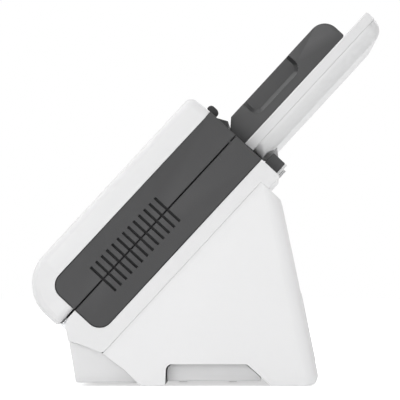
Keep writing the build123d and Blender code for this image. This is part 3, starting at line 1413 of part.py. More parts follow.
def make_usb_port():
    """Square data socket with its tongue."""
    width, depth, height = USB_SIZE
    mouth_width, mouth_height = USB_MOUTH
    body = Pos(USB_X, PORT_FACE_Y - depth / 2, BOARD_TOP) * Box(width, depth, height, align=CENTRE_MIN)
    middle_z = BOARD_TOP + height / 2
    mouth = Pos(USB_X, PORT_FACE_Y, middle_z) * Box(mouth_width, 2 * (depth - 5), mouth_height)
    tongue_z = middle_z + mouth_height / 4
    tongue = Pos(USB_X, PORT_FACE_Y - depth / 2 + 1.5, tongue_z) * Box(*USB_TONGUE)
    return body - mouth + tongue


def make_port_panel(outer, hollow):
    """Dark insert of the back wall round the two sockets."""
    panel = (outer - hollow) & port_zone(FIT / 2)
    for x, (width, _, height) in ((JACK_X, JACK_SIZE), (USB_X, USB_SIZE)):
        window = Box(width + 2 * FIT, PORT_REACH, height + 2 * FIT)
        panel -= Pos(x, PORT_FACE_Y, BOARD_TOP + height / 2) * window
    return panel


def make_rating_plate():
    """Bare plate on the back wall."""
    down = Vector(0, BACK_FOOT[0] - BACK_TOP[0], BACK_FOOT[1] - BACK_TOP[1]).normalized()
    centre = Vector(0, BACK_FOOT[0], BACK_FOOT[1]) - down * PLATE_RISE
    plane = Plane(origin=centre, x_dir=(1, 0, 0), z_dir=Vector(1, 0, 0).cross(down))
    face = Pos(PLATE_X, 0) * RectangleRounded(PLATE_WIDTH, PLATE_HEIGHT, 2.0)
    return extrude(plane * face, amount=PLATE_THICKNESS)


def make_feet():
    """Four rubber pads let into the stand's two feet."""
    pads = []
    for x in (-PAD_X, PAD_X):
        for y, width in PADS:
            face = RectangleRounded(PAD_LENGTH, width, PAD_CORNER)
            pads.append(Pos(x, y, 0) * extrude(face, amount=FOOT_PAD))
    return pads


def make_frame_screws():
    """Screws that fix the frames to the rear shell's back wall."""
    screws = []
    for x in (FRAME_OUTER + FRAME_SCREW_OFFSET, -FRAME_OUTER - FRAME_SCREW_OFFSET):
        for along in FRAME_SCREW_ALONG:
            screws.append(face_plug(x, along, REAR_WALL_FACE, FRAME_SCREW_RADIUS, SCREW_HEAD_HEIGHT))
    return screws


def make_switch_board():
    """Small board behind the buttons, with three key switches."""
    inset = SWITCH_BOARD_INSET
    x_range = (CONSOLE_LOW_X + inset, CONSOLE_HIGH_X - inset)
    forward = (SWITCH_BOARD_BACK, SWITCH_BOARD_BACK + BOARD_THICKNESS)
    board = slab_box((CONSOLE_FOOT + inset, CONSOLE_TOP - inset), forward, x_range)
    half = SWITCH_SIZE / 2
    for x, along, _ in BUTTONS.values():
        board += slab_box((along - half, along + half), (forward[0], SWITCH_TOP), (x - half, x + half))
    return board


def make_board_ribs():
    """Ribs inside the cover that the switch board stands on."""
    ribs = []
    inset = SWITCH_BOARD_INSET + 2
    forward = (SWITCH_BOARD_BACK + BOARD_THICKNESS, FRONT_DEPTH - WALL)
    for along in (CONSOLE_FOOT + inset, CONSOLE_TOP - inset):
        for x in (CONSOLE_LOW_X + inset, CONSOLE_HIGH_X - inset):
            ribs.append(slab_box((along - 1, along + 1), forward, (x - 1, x + 1)))
    return ribs


def make_latch_spring():
    """Torsion spring on the latch pin, beside the hub."""
    radius = LATCH_PIN_RADIUS + SPRING_WIRE + SPRING_CLEARANCE
    path = Helix(pitch=SPRING_PITCH, height=SPRING_PITCH * SPRING_TURNS, radius=radius)
    start = Plane(origin=path @ 0, z_dir=path % 0)
    coil = sweep(start * Circle(SPRING_WIRE), path=path)
    y, z, _ = slab(LATCH_PIVOT_ALONG, LATCH_PIVOT_FORWARD)
    return Pos(LATCH_RIB_X[1] + SPRING_WIRE + FIT, y, z) * Rot(0, 90, 0) * coil


def main():
    os.makedirs("parts", exist_ok=True)
    outer, hollow = stand_shapes()
    save("stand_shell", make_stand(outer, hollow))
    save("base_pan", make_base_pan(outer, hollow))
    save("bottom_cover", make_bottom_cover())
    save("port_panel", make_port_panel(outer, hollow))
    save("front_toe", make_front_toe())
    save("rubber_feet", *make_feet())
    save("rating_plate", make_rating_plate())
    save("rear_shell", make_rear_shell())
    for half, front in (("rear", False), ("front", True)):
        right, left = both_sides(make_side_panel(front))
        save("right_" + half + "_panel", right)
        save("left_" + half + "_panel", left)
    save("right_frame", make_frame(False))
    save("left_frame", make_frame(True))
    save("stay_bars", *make_stay_bars())
    save("shaft_bushes", *make_bushes())
    save("frame_pins", *both_sides(make_hinge_pin()), make_catch_pin())
    save("lower_paper_guide", make_lower_guide())
    save("lower_image_sensor", make_sensor(-1, FRAME_INNER))
    save("lower_sensor_glass", make_sensor_glass(-1))
    save("main_board", make_main_board())
    save("board_posts", *make_board_posts())
    save("power_jack", make_power_jack())
    save("usb_port", make_usb_port())
    save("drive_motor", make_motor())
    save("frame_screws", *make_frame_screws())
    save("drive_belt", make_belt())
    save("tray_hinge_blocks", *make_hinge_blocks())
    save("tray_hinge_pins", *make_tray_pins())
    for name in SHAFTS:
        save(name + "_shaft", make_shaft(name) + make_pulley(name))
        save(name + "_rollers", *make_sleeves(name))
    save("transport_gear", make_transport_gear())
    save("motor_pinion", make_motor_pinion())
    cover = make_front_cover()
    cover += make_latch_rib()
    for rib in make_board_ribs():
        cover += rib
    save("front_cover", cover)
    save("upper_paper_guide", make_upper_guide())
    save("inlet_lip", make_inlet_lip())
    save("upper_image_sensor", make_sensor(1, PATH_HALF_WIDTH))
    save("upper_sensor_glass", make_sensor_glass(1))
    save("control_console", make_control_console())
    save("switch_board", make_switch_board())
    save("latch_pin", make_latch_pin())
    save("latch_spring", make_latch_spring())
    save("latch_lever", make_latch())
    save("transport_idlers", make_idlers("transport"))
    save("exit_idlers", make_idlers("exit"))
    save("separation_roller", make_separation_roller())
    for name in BUTTONS:
        save(name, make_button(name))
    save("input_tray", make_input_tray())
    save("tray_back_cover", make_tray_cover())
    right_guide, left_guide = make_guides()
    save("right_paper_guide", right_guide)
    save("left_paper_guide", left_guide)
    save("guide_pinion", make_guide_pinion())
    save("tray_extension", make_tray_extension())
    save("eject_flap", make_eject_flap())


if __name__ == "__main__":
    main()
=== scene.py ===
# %% [markdown]
# This lesson dresses an upright, sheet-fed document scanner. The real machine is a
# leaning body of two halves, a wedge-shaped stand, and a tray that holds the paper.
# Its mechanics come ready-made as a fixed frame, in metres. Here each piece gets its
# finish, its rounded edges and its small details, and the scene is lit and framed.

# %% Load the frame
import bpy
import bmesh
import json
import math
from mathutils import Matrix, Vector

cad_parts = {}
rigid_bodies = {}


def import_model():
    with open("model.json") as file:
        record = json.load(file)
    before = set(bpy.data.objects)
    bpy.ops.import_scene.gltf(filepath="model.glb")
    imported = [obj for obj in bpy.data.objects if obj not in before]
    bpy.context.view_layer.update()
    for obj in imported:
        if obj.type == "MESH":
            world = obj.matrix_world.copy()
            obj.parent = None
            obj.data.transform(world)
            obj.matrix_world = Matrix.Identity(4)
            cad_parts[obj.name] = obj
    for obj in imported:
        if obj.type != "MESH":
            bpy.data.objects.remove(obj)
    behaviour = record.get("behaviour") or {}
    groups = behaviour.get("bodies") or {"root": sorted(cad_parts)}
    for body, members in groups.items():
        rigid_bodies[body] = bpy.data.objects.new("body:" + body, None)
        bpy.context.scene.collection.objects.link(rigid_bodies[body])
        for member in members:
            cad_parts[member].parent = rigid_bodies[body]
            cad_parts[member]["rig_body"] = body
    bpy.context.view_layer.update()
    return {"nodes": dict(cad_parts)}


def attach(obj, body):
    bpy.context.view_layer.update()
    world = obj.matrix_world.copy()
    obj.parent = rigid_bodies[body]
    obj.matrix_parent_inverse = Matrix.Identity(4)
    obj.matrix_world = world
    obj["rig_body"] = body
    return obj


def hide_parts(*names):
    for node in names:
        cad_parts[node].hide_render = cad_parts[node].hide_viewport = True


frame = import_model()
MM = 0.001

# %% [markdown]
# The body leans back, so most details are easiest to place in its own directions:
# "along" runs up the slope from the foot of the line where the two halves part,
# and "forward" is square to the slope, towards the front. One helper turns such a
# place into a point of the frame, and one gives the matching axes.

# %% Places on the leaning body
LEAN = math.radians(47.25)
PARTING_FOOT = (-88.3, 35.6)
UP_SLOPE = Vector((0, math.cos(LEAN), math.sin(LEAN)))
FORWARD = Vector((0, -math.sin(LEAN), math.cos(LEAN)))
ACROSS = Vector((1, 0, 0))


def on_slope(x, along, forward):
    """A point of the frame from millimetres across, along and forward."""
    foot = Vector((x, *PARTING_FOOT))
    return (foot + along * UP_SLOPE + forward * FORWARD) * MM


def slope_matrix(x, along, forward, normal=1):
    """Axes on the slope: x across, y up the slope, z forward, or the reverse."""
    rotation = Matrix((ACROSS * normal, UP_SLOPE, FORWARD * normal)).transposed().to_4x4()
    return Matrix.Translation(on_slope(x, along, forward)) @ rotation


print("top of the parting line:", [round(v, 4) for v in on_slope(0, 156.7, 0)])

# %% [markdown]
# The photograph is a side view from far away, slightly from behind, with the lens
# just above the desk. A long lens from three metres gives the same flat picture.
# Four hundred pixels span 240 mm at the scanner's near side, which sets the lens.

# %% Camera
CAMERA_TURN = math.radians(90.8)
CAMERA_DISTANCE = 3.0
CAMERA_HEIGHT = 0.085
NEAR_SIDE = 0.150
VIEW_WIDTH = 0.240
VIEW_MIDDLE = Vector((NEAR_SIDE, -0.0035, 0.1119))
SENSOR_WIDTH = 36.0
CLIP_END = 50.0


def make_camera():
    data = bpy.data.cameras.new("side_view")
    data.sensor_width = SENSOR_WIDTH
    data.lens = SENSOR_WIDTH * CAMERA_DISTANCE / VIEW_WIDTH
    data.clip_end = CLIP_END
    camera = bpy.data.objects.new("side_view", data)
    bpy.context.scene.collection.objects.link(camera)
    outward = Vector((math.sin(CAMERA_TURN), -math.cos(CAMERA_TURN), 0))
    camera.location = VIEW_MIDDLE + outward * CAMERA_DISTANCE
    camera.location.z = CAMERA_HEIGHT
    sight = VIEW_MIDDLE - camera.location
    camera.rotation_euler = sight.to_track_quat("-Z", "Y").to_euler()
    bpy.context.scene.camera = camera
    return camera


camera = make_camera()
print("lens:", round(camera.data.lens), "mm")

# %% [markdown]
# A pale floor and plain studio light keep the attention on the shapes. The world
# is a soft white surround. Seen directly it is pure white, as the photograph's
# background is, and it lights the scanner at a lower level, so that white plastic
# keeps its shading. The floor runs into the same white a few metres away, so no edge
# of it shows. Broad lamps give direction. Two of them hang high in front and behind,
# in the plane of the side, so that slanted edges catch a light line while the flat
# side stays even. A low one near the foot brightens the lower part of the stand, as
# a bright table top does.

# %% Floor, world and lamps
scene = bpy.context.scene
scene.view_settings.view_transform = "Standard"
SURROUND = 0.60
FLOOR_SIZE = 30.0
FLOOR_TONE = 0.90
FLOOR_LIFT = 0.60
FADE_START = 1.0
FADE_END = 5.0
LAMP_AIM = Vector((0, 0, 0.1))


def direct_view(nodes, links):
    """One where a ray comes from the camera, a mirror or through glass, else zero."""
    path = nodes.new("ShaderNodeLightPath")
    first = nodes.new("ShaderNodeMath")
    first.operation = "MAXIMUM"
    links.new(path.outputs["Is Camera Ray"], first.inputs[0])
    links.new(path.outputs["Is Glossy Ray"], first.inputs[1])
    second = nodes.new("ShaderNodeMath")
    second.operation = "MAXIMUM"
    links.new(first.outputs[0], second.inputs[0])
    links.new(path.outputs["Is Transmission Ray"], second.inputs[1])
    return second.outputs[0]


def make_world():
    world = bpy.data.worlds.new("white_surround")
    world.use_nodes = True
    nodes, links = world.node_tree.nodes, world.node_tree.links
    nodes.clear()
    seen = nodes.new("ShaderNodeBackground")
    seen.inputs["Color"].default_value = (1, 1, 1, 1)
    light = nodes.new("ShaderNodeBackground")
    light.inputs["Color"].default_value = (1, 1, 1, 1)
    light.inputs["Strength"].default_value = SURROUND
    mix = nodes.new("ShaderNodeMixShader")
    output = nodes.new("ShaderNodeOutputWorld")
    links.new(direct_view(nodes, links), mix.inputs[0])
    links.new(light.outputs[0], mix.inputs[1])
    links.new(seen.outputs[0], mix.inputs[2])
    links.new(mix.outputs[0], output.inputs[0])
    scene.world = world


def make_floor():
    mesh = bpy.data.meshes.new("floor")
    half = FLOOR_SIZE / 2
    corners = [(-half, -half, 0), (half, -half, 0), (half, half, 0), (-half, half, 0)]
    mesh.from_pydata(corners, [], [(0, 1, 2, 3)])
    floor = bpy.data.objects.new("floor", mesh)
    scene.collection.objects.link(floor)
    material = bpy.data.materials.new("pale_floor")
    material.use_nodes = True
    nodes, links = material.node_tree.nodes, material.node_tree.links
    nodes.clear()
    matt = nodes.new("ShaderNodeBsdfDiffuse")
    matt.inputs["Color"].default_value = (FLOOR_TONE, FLOOR_TONE, FLOOR_TONE, 1)
    lift = nodes.new("ShaderNodeEmission")
    lift.inputs["Color"].default_value = (1, 1, 1, 1)
    strength = nodes.new("ShaderNodeMath")
    strength.operation = "MULTIPLY"
    strength.inputs[1].default_value = FLOOR_LIFT
    links.new(direct_view(nodes, links), strength.inputs[0])
    links.new(strength.outputs[0], lift.inputs["Strength"])
    add = nodes.new("ShaderNodeAddShader")
    links.new(matt.outputs[0], add.inputs[0])
    links.new(lift.outputs[0], add.inputs[1])
    place = nodes.new("ShaderNodeTexCoord")
    length = nodes.new("ShaderNodeVectorMath")
    length.operation = "LENGTH"
    links.new(place.outputs["Object"], length.inputs[0])
    fade = nodes.new("ShaderNodeMapRange")
    fade.interpolation_type = "SMOOTHSTEP"
    fade.inputs["From Min"].default_value = FADE_START
    fade.inputs["From Max"].default_value = FADE_END
    links.new(length.outputs["Value"], fade.inputs["Value"])
    far = nodes.new("ShaderNodeEmission")
    far.inputs["Color"].default_value = (1, 1, 1, 1)
    seam = nodes.new("ShaderNodeMixShader")
    links.new(fade.outputs["Result"], seam.inputs[0])
    links.new(add.outputs[0], seam.inputs[1])
    links.new(far.outputs[0], seam.inputs[2])
    output = nodes.new("ShaderNodeOutputMaterial")
    links.new(seam.outputs[0], output.inputs[0])
    mesh.materials.append(material)


def make_lamp(name, place, size, power):
    data = bpy.data.lights.new(name, "AREA")
    data.shape = "SQUARE"
    data.size = size
    data.energy = power
    lamp = bpy.data.objects.new(name, data)
    lamp.location = place
    sight = LAMP_AIM - Vector(place)
    lamp.rotation_euler = sight.to_track_quat("-Z", "Y").to_euler()
    lamp.visible_camera = False
    scene.collection.objects.link(lamp)


make_world()
make_floor()
make_lamp("overhead", (0.3, -0.3, 2.2), 1.6, 14.0)
make_lamp("front_near", (1.3, -1.6, 1.3), 1.0, 1.0)
make_lamp("front_high", (0.16, -1.15, 1.15), 0.6, 5.0)
make_lamp("rear_high", (0.16, 1.15, 1.25), 0.6, 3.0)
make_lamp("low_near", (1.00, -0.30, 0.06), 0.5, 4.0)
make_lamp("far_side", (-1.8, 1.2, 1.2), 1.4, 9.0)

# %% [markdown]
# Every finish is a small network of nodes, and these helpers build its parts: an
# empty principled material, a texture in the frame's metres, a spread that fits the
# texture's values to a range, a bump, and links for colour and roughness. The bump's
# height is in metres too, so a grain of some hundredths of a millimetre has its true
# depth.

# %% Material helpers
def start_material(name, colour, roughness, metallic=0.0):
    material = bpy.data.materials.new(name)
    material.use_nodes = True
    shader = material.node_tree.nodes["Principled BSDF"]
    shader.inputs["Base Color"].default_value = (*colour, 1)
    shader.inputs["Roughness"].default_value = roughness
    shader.inputs["Metallic"].default_value = metallic
    return material


def texture(material, kind, scale, stretch=(1, 1, 1), **values):
    """A texture node in the frame's metres: scale is in features per metre."""
    nodes, links = material.node_tree.nodes, material.node_tree.links
    place = nodes.new("ShaderNodeTexCoord")
    mapping = nodes.new("ShaderNodeMapping")
    mapping.inputs["Scale"].default_value = stretch
    node = nodes.new("ShaderNodeTex" + kind)
    node.inputs["Scale"].default_value = scale
    for key, value in values.items():
        if key in node.inputs:
            node.inputs[key].default_value = value
        else:
            setattr(node, key, value)
    links.new(place.outputs["Object"], mapping.inputs["Vector"])
    links.new(mapping.outputs[0], node.inputs["Vector"])
    return node


def spread(material, socket, low=0.0, high=1.0, source_low=0.3, source_high=0.7):
    """Turns a texture's value into a range, such as roughness from low to high."""
    node = material.node_tree.nodes.new("ShaderNodeMapRange")
    node.inputs["From Min"].default_value = source_low
    node.inputs["From Max"].default_value = source_high
    node.inputs["To Min"].default_value = low
    node.inputs["To Max"].default_value = high
    material.node_tree.links.new(socket, node.inputs["Value"])
    return node.outputs["Result"]


def add_bump(material, socket, depth, strength=1.0):
    nodes, links = material.node_tree.nodes, material.node_tree.links
    shader = nodes["Principled BSDF"]
    bump = nodes.new("ShaderNodeBump")
    bump.inputs["Distance"].default_value = depth
    bump.inputs["Strength"].default_value = strength
    links.new(socket, bump.inputs["Height"])
    if shader.inputs["Normal"].is_linked:
        earlier = shader.inputs["Normal"].links[0].from_socket
        links.new(earlier, bump.inputs["Normal"])
    links.new(bump.outputs["Normal"], shader.inputs["Normal"])


def shade_between(material, socket, dark, light):
    """Base colour that runs between two tones with a texture's value."""
    nodes, links = material.node_tree.nodes, material.node_tree.links
    mix = nodes.new("ShaderNodeMix")
    mix.data_type = "RGBA"
    mix.inputs["A"].default_value = (*dark, 1)
    mix.inputs["B"].default_value = (*light, 1)
    links.new(socket, mix.inputs["Factor"])
    links.new(mix.outputs["Result"], nodes["Principled BSDF"].inputs["Base Color"])
    return mix


def link_roughness(material, socket):
    shader = material.node_tree.nodes["Principled BSDF"]
    material.node_tree.links.new(socket, shader.inputs["Roughness"])


print("materials so far:", len(bpy.data.materials))

# %% [markdown]
# The casing is moulded plastic. Its mould is spark-eroded, which leaves a fine even
# grain that scatters the light. Two layers of noise make that grain. A slow cloud
# of noise varies the colour and gloss by a few percent, as real mouldings do. The
# rounded edges are painted a touch lighter, a painted highlight where the lamps
# would catch the rounding.

# %% Moulded plastics
FINE_GRAIN = 2600
COARSE_GRAIN = 1500
COARSE_SHARE = 0.8
CLOUD = 14
LESS_GLOSS = 0.05
MORE_GLOSS = 0.04
# How much lighter the edges are painted, and from which pointiness: a painted highlight.
EDGE_SHEEN_LIFT = 0.05
EDGE_SHEEN_SPAN = (0.52, 0.60)


def round_edges(material, radius):
    """Turns the surface's direction near an edge, as a rounding of that radius does."""
    nodes, links = material.node_tree.nodes, material.node_tree.links
    bevel = nodes.new("ShaderNodeBevel")
    bevel.samples = 4
    bevel.inputs["Radius"].default_value = radius
    links.new(bevel.outputs["Normal"], nodes["Principled BSDF"].inputs["Normal"])


def moulded_plastic(name, colour, roughness, grain, edge=0.04, drift=0.02, rounding=0.0004):
    material = start_material(name, colour, roughness)
    round_edges(material, rounding)
    nodes, links = material.node_tree.nodes, material.node_tree.links
    fine = texture(material, "Noise", FINE_GRAIN, Detail=2.0)
    coarse = texture(material, "Voronoi", COARSE_GRAIN, feature="SMOOTH_F1", Smoothness=0.6)
    cloud = texture(material, "Noise", CLOUD, Detail=4.0).outputs["Fac"]
    add_bump(material, fine.outputs["Fac"], grain)
    add_bump(material, coarse.outputs["Distance"], grain * COARSE_SHARE)
    dark = [c * (1 - drift) for c in colour]
    light = [min(1.0, c * (1 + drift)) for c in colour]
    tone = shade_between(material, spread(material, cloud), dark, light)
    gloss = spread(material, cloud, roughness - MORE_GLOSS, roughness + LESS_GLOSS)
    link_roughness(material, gloss)
    # Painted highlight: the edges, found by their pointiness, are painted lighter.
    sheen_tone = [min(1.0, c * (1 + edge) + edge * EDGE_SHEEN_LIFT) for c in colour]
    geometry = nodes.new("ShaderNodeNewGeometry")
    edge_sheen = nodes.new("ShaderNodeMix")
    edge_sheen.data_type = "RGBA"
    edge_sheen.inputs["B"].default_value = (*sheen_tone, 1)
    outline = spread(material, geometry.outputs["Pointiness"], 0.0, 1.0, *EDGE_SHEEN_SPAN)
    links.new(outline, edge_sheen.inputs["Factor"])
    links.new(tone.outputs["Result"], edge_sheen.inputs["A"])
    links.new(edge_sheen.outputs["Result"], nodes["Principled BSDF"].inputs["Base Color"])
    return material


WHITE = (0.640, 0.640, 0.644)
# The stand's white is the cover's white painted brighter: painted light from the desk below.
BRIGHTENED_STAND_WHITE = (0.690, 0.690, 0.694)
CHARCOAL = (0.022, 0.022, 0.023)
GUIDE_CHARCOAL = (0.024, 0.024, 0.025)
NATURAL = (0.72, 0.71, 0.66)
KEY_GREY = (0.44, 0.45, 0.46)
BLACK = (0.028, 0.028, 0.029)
# The edge value is how much lighter the edges are painted, a painted highlight.
white_plastic = moulded_plastic("white_plastic", WHITE, 0.46, 0.00002)
lit_stand_plastic = moulded_plastic("lit_stand_plastic", BRIGHTENED_STAND_WHITE, 0.52, 0.00002)
dark_plastic = moulded_plastic("dark_plastic", CHARCOAL, 0.56, 0.00004, 0.5, 0.06)
guide_plastic = moulded_plastic("guide_plastic", GUIDE_CHARCOAL, 0.36, 0.00003, 0.5, 0.05)
natural_plastic = moulded_plastic("natural_plastic", NATURAL, 0.38, 0.00001)
key_plastic = moulded_plastic("key_plastic", KEY_GREY, 0.36, 0.00001)
black_plastic = moulded_plastic("black_plastic", BLACK, 0.42, 0.00002, edge=0.6)
print("materials with the plastics:", len(bpy.data.materials))

# %% [markdown]
# The control panel is polished black plastic under a clear coat. A perfect gloss
# looks like ink, so faint smears vary its roughness, and a few hairline scratches
# from a stretched noise catch the lamps.

# %% Polished panel
PANEL_BLACK = (0.016, 0.016, 0.018)
PANEL_ROUGHNESS = 0.12
SMEARED_GLOSS = (0.08, 0.26)
SCRATCH_DEPTH = 0.000002


def polished_black(name):
    material = start_material(name, PANEL_BLACK, PANEL_ROUGHNESS)
    shader = material.node_tree.nodes["Principled BSDF"]
    shader.inputs["Coat Weight"].default_value = 0.8
    shader.inputs["Coat Roughness"].default_value = 0.05
    smear = texture(material, "Noise", 45, Detail=5.0, Distortion=0.8)
    link_roughness(material, spread(material, smear.outputs["Fac"], *SMEARED_GLOSS))
    hairline = texture(material, "Noise", 260, stretch=(1, 40, 40), Detail=1.0)
    add_bump(material, hairline.outputs["Fac"], SCRATCH_DEPTH)
    return material


console_finish = polished_black("polished_black")
print("gloss of the panel:", SMEARED_GLOSS)

# %% [markdown]
# Rubber is matt and slightly dusty. The pads and the belt have a pebbled skin, and
# the rollers are ground, which leaves rings round them: a wave texture across the
# width draws those.

# %% Rubbers
RUBBER_ROUGHNESS = 0.82
PEBBLE_DEPTH = 0.00004
GROUND_RINGS = 450
RING_DEPTH = 0.00006


def matt_rubber(name, colour, ring_scale=0.0):
    material = start_material(name, colour, RUBBER_ROUGHNESS)
    shader = material.node_tree.nodes["Principled BSDF"]
    shader.inputs["Specular IOR Level"].default_value = 0.3
    dust = texture(material, "Noise", 60, Detail=6.0)
    pebble = texture(material, "Voronoi", 2400)
    light = [c * 1.35 + 0.004 for c in colour]
    shade_between(material, spread(material, dust.outputs["Fac"]), colour, light)
    add_bump(material, pebble.outputs["Distance"], PEBBLE_DEPTH)
    if ring_scale:
        rings = texture(material, "Wave", ring_scale, bands_direction="X", Distortion=0.4)
        add_bump(material, rings.outputs["Fac"], RING_DEPTH)
    return material


pad_rubber = matt_rubber("pad_rubber", (0.045, 0.045, 0.047))
roller_rubber = matt_rubber("roller_rubber", (0.060, 0.060, 0.063), GROUND_RINGS)
belt_rubber = matt_rubber("belt_rubber", (0.030, 0.030, 0.031))
retard_rubber = matt_rubber("retard_rubber", (0.19, 0.20, 0.22), GROUND_RINGS)
print("materials with the rubbers:", len(bpy.data.materials))

# %% [markdown]
# The chassis is plated sheet steel, rolled along its width, so its grain runs one
# way. Turned shafts and screws are brighter. Both are metals with a stretched noise
# for the grain and a slow one for uneven plating. The sensors' windows are clear
# glass with a faint film, so they aren't perfect mirrors.

# %% Metals and glass
DARKEST_PLATING = 0.86
ROLLED_GRAIN_DEPTH = 0.000006
GLASS_TINT = (0.93, 0.97, 0.96)
GLASS_IOR = 1.5


def rolled_metal(name, colour, roughness, grain=(1, 30, 30)):
    material = start_material(name, colour, roughness, metallic=1.0)
    lines = texture(material, "Noise", 180, stretch=grain, Detail=3.0)
    plating = texture(material, "Noise", 22, Detail=4.0)
    dark = [c * DARKEST_PLATING for c in colour]
    shade_between(material, spread(material, plating.outputs["Fac"]), dark, colour)
    gloss = spread(material, lines.outputs["Fac"], roughness - 0.08, roughness + 0.12)
    link_roughness(material, gloss)
    add_bump(material, lines.outputs["Fac"], ROLLED_GRAIN_DEPTH)
    return material


def clear_glass(name):
    material = start_material(name, GLASS_TINT, 0.02)
    shader = material.node_tree.nodes["Principled BSDF"]
    shader.inputs["Transmission Weight"].default_value = 1.0
    shader.inputs["IOR"].default_value = GLASS_IOR
    film = texture(material, "Noise", 35, Detail=4.0)
    link_roughness(material, spread(material, film.outputs["Fac"], 0.01, 0.06))
    return material


frame_steel = rolled_metal("frame_steel", (0.56, 0.57, 0.58), 0.34)
turned_steel = rolled_metal("turned_steel", (0.68, 0.68, 0.68), 0.22, grain=(40, 1, 1))
zinc_plate = rolled_metal("zinc_plate", (0.62, 0.62, 0.63), 0.30, grain=(1, 1, 1))
gilt_contact = rolled_metal("gilt_contact", (0.83, 0.62, 0.28), 0.25)
sensor_glass = clear_glass("sensor_glass")
print("materials with metals and glass:", len(bpy.data.materials))

# %% [markdown]
# The circuit board is green solder mask over copper. Copper tracks raise the mask
# slightly and show as a lighter green. A brick texture's thin mortar lines pass for
# the tracks at the distance from which they are seen.

# %% Circuit board
MASK_DARK = (0.026, 0.15, 0.066, 1)
MASK_GREEN = (0.030, 0.17, 0.075)
MASK_LIGHT = (0.032, 0.18, 0.080, 1)
TRACK_GREEN = (0.060, 0.27, 0.13, 1)
TRACK_WIDTH = 0.035
TRACK_HEIGHT = 0.00003


def solder_mask(name):
    material = start_material(name, MASK_GREEN, 0.30)
    nodes, links = material.node_tree.nodes, material.node_tree.links
    tracks = texture(material, "Brick", 220, offset=0.37, squash=1.6)
    tracks.inputs["Color1"].default_value = MASK_DARK
    tracks.inputs["Color2"].default_value = MASK_LIGHT
    tracks.inputs["Mortar"].default_value = TRACK_GREEN
    tracks.inputs["Mortar Size"].default_value = TRACK_WIDTH
    links.new(tracks.outputs["Color"], nodes["Principled BSDF"].inputs["Base Color"])
    add_bump(material, tracks.outputs["Fac"], TRACK_HEIGHT)
    return material


board_finish = solder_mask("solder_mask")
print("tracks on the board:", TRACK_GREEN)

# %% [markdown]
# Real mouldings have no knife edges. A copy of each piece's mesh is welded and its
# flat faces are merged. Then a bevel of a few tenths of a millimetre rounds every
# outward edge, as a mould cut with a round tool does. The copy then stands for the
# solid. It never grows past it, since such a bevel only takes material away. The
# largest shells have ribs and openings that crowd their edges, so they keep their
# solids, and their finish rounds the edges in the shading.

# %% Rounded copies of the mouldings
SHARP_ANGLE = math.radians(28)
FLAT_ANGLE = math.radians(0.3)
WELD_DISTANCE = 0.000002
SMALLEST_FACE = 0.0000005
NORMAL_WEIGHT = 50
SMALL_ROUNDING = 0.20
ROUNDING = 0.30


def outward_edges(work):
    """Sharp edges that stick out, apart from those of the tiniest faces."""
    chosen = []
    for edge in work.edges:
        if len(edge.link_faces) != 2 or not edge.is_convex:
            continue
        if edge.calc_face_angle(0) < SHARP_ANGLE:
            continue
        if min(face.calc_area() for face in edge.link_faces) > SMALLEST_FACE:
            chosen.append(edge)
    return chosen


def rounded_mesh(node, radius):
    """A copy of a node's mesh with its outward edges rounded, radius in millimetres."""
    mesh = frame["nodes"][node].data.copy()
    work = bmesh.new()
    work.from_mesh(mesh)
    bmesh.ops.remove_doubles(work, verts=work.verts, dist=WELD_DISTANCE)
    bmesh.ops.dissolve_limit(work, angle_limit=FLAT_ANGLE, verts=work.verts, edges=work.edges)
    bmesh.ops.bevel(work, geom=outward_edges(work), offset=radius * MM, offset_type="OFFSET",
                    segments=2, profile=0.5, affect="EDGES", clamp_overlap=False)
    for face in work.faces:
        face.smooth = True
    for edge in work.edges:
        if len(edge.link_faces) == 2:
            limit = 2 * SHARP_ANGLE if edge.is_convex else SHARP_ANGLE
            edge.smooth = edge.calc_face_angle(0) < limit
    work.to_mesh(mesh)
    work.free()
    return mesh


def apply_modifiers(piece):
    """Keeps what the modifiers make as the piece's own mesh."""
    graph = bpy.context.evaluated_depsgraph_get()
    result = bpy.data.meshes.new_from_object(piece.evaluated_get(graph))
    piece.modifiers.clear()
    piece.data = result


def rounded_copy(node, material, radius):
    """A piece with rounded edges, in the given finish."""
    mesh = rounded_mesh(node, radius)
    mesh.materials.clear()
    mesh.materials.append(material)
    piece = bpy.data.objects.new(node + "_rounded", mesh)
    scene.collection.objects.link(piece)
    weights = piece.modifiers.new("flat_faces_stay_flat", "WEIGHTED_NORMAL")
    weights.weight = NORMAL_WEIGHT
    weights.keep_sharp = True
    apply_modifiers(piece)
    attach(piece, frame["nodes"][node]["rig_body"])
    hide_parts(node)


print("sharp edges start at", round(math.degrees(SHARP_ANGLE)), "degrees")

# %% [markdown]
# The side panels, the paper guides and the small fittings are charcoal mouldings, a
# second colour beside the white casing. The guides and the tray's extension are a
# little glossier, because paper slides along them. The lip over the inlet is black.

# %% Dark mouldings
for node in ("right_rear_panel", "left_rear_panel", "right_front_panel", "left_front_panel",
             "tray_hinge_blocks", "latch_lever"):
    rounded_copy(node, dark_plastic, SMALL_ROUNDING)
for node in ("right_paper_guide", "left_paper_guide"):
    rounded_copy(node, guide_plastic, SMALL_ROUNDING)
rounded_copy("tray_extension", guide_plastic, ROUNDING)
rounded_copy("port_panel", dark_plastic, ROUNDING)
rounded_copy("inlet_lip", black_plastic, ROUNDING)


def count_rounded():
    return len([piece for piece in scene.objects if piece.name.endswith("_rounded")])


print("rounded dark mouldings:", count_rounded())

# %% [markdown]
# The tray's face, the toe, the pan and its cover are white. The lower ones share the
# stand's white, which is the cover's white painted a little brighter: painted light,
# standing in for the light that the desk throws up onto the lower part, so that foot
# and stand look like one piece.

# %% White mouldings
rounded_copy("input_tray", white_plastic, ROUNDING)
for node in ("front_toe", "base_pan", "bottom_cover"):
    rounded_copy(node, lit_stand_plastic, ROUNDING)
print("with the white ones:", count_rounded())

# %% [markdown]
# What remains is small: three grey keys in a gloss console, rubber pads, the black
# housings of the image sensors, and the motor in its plated can.

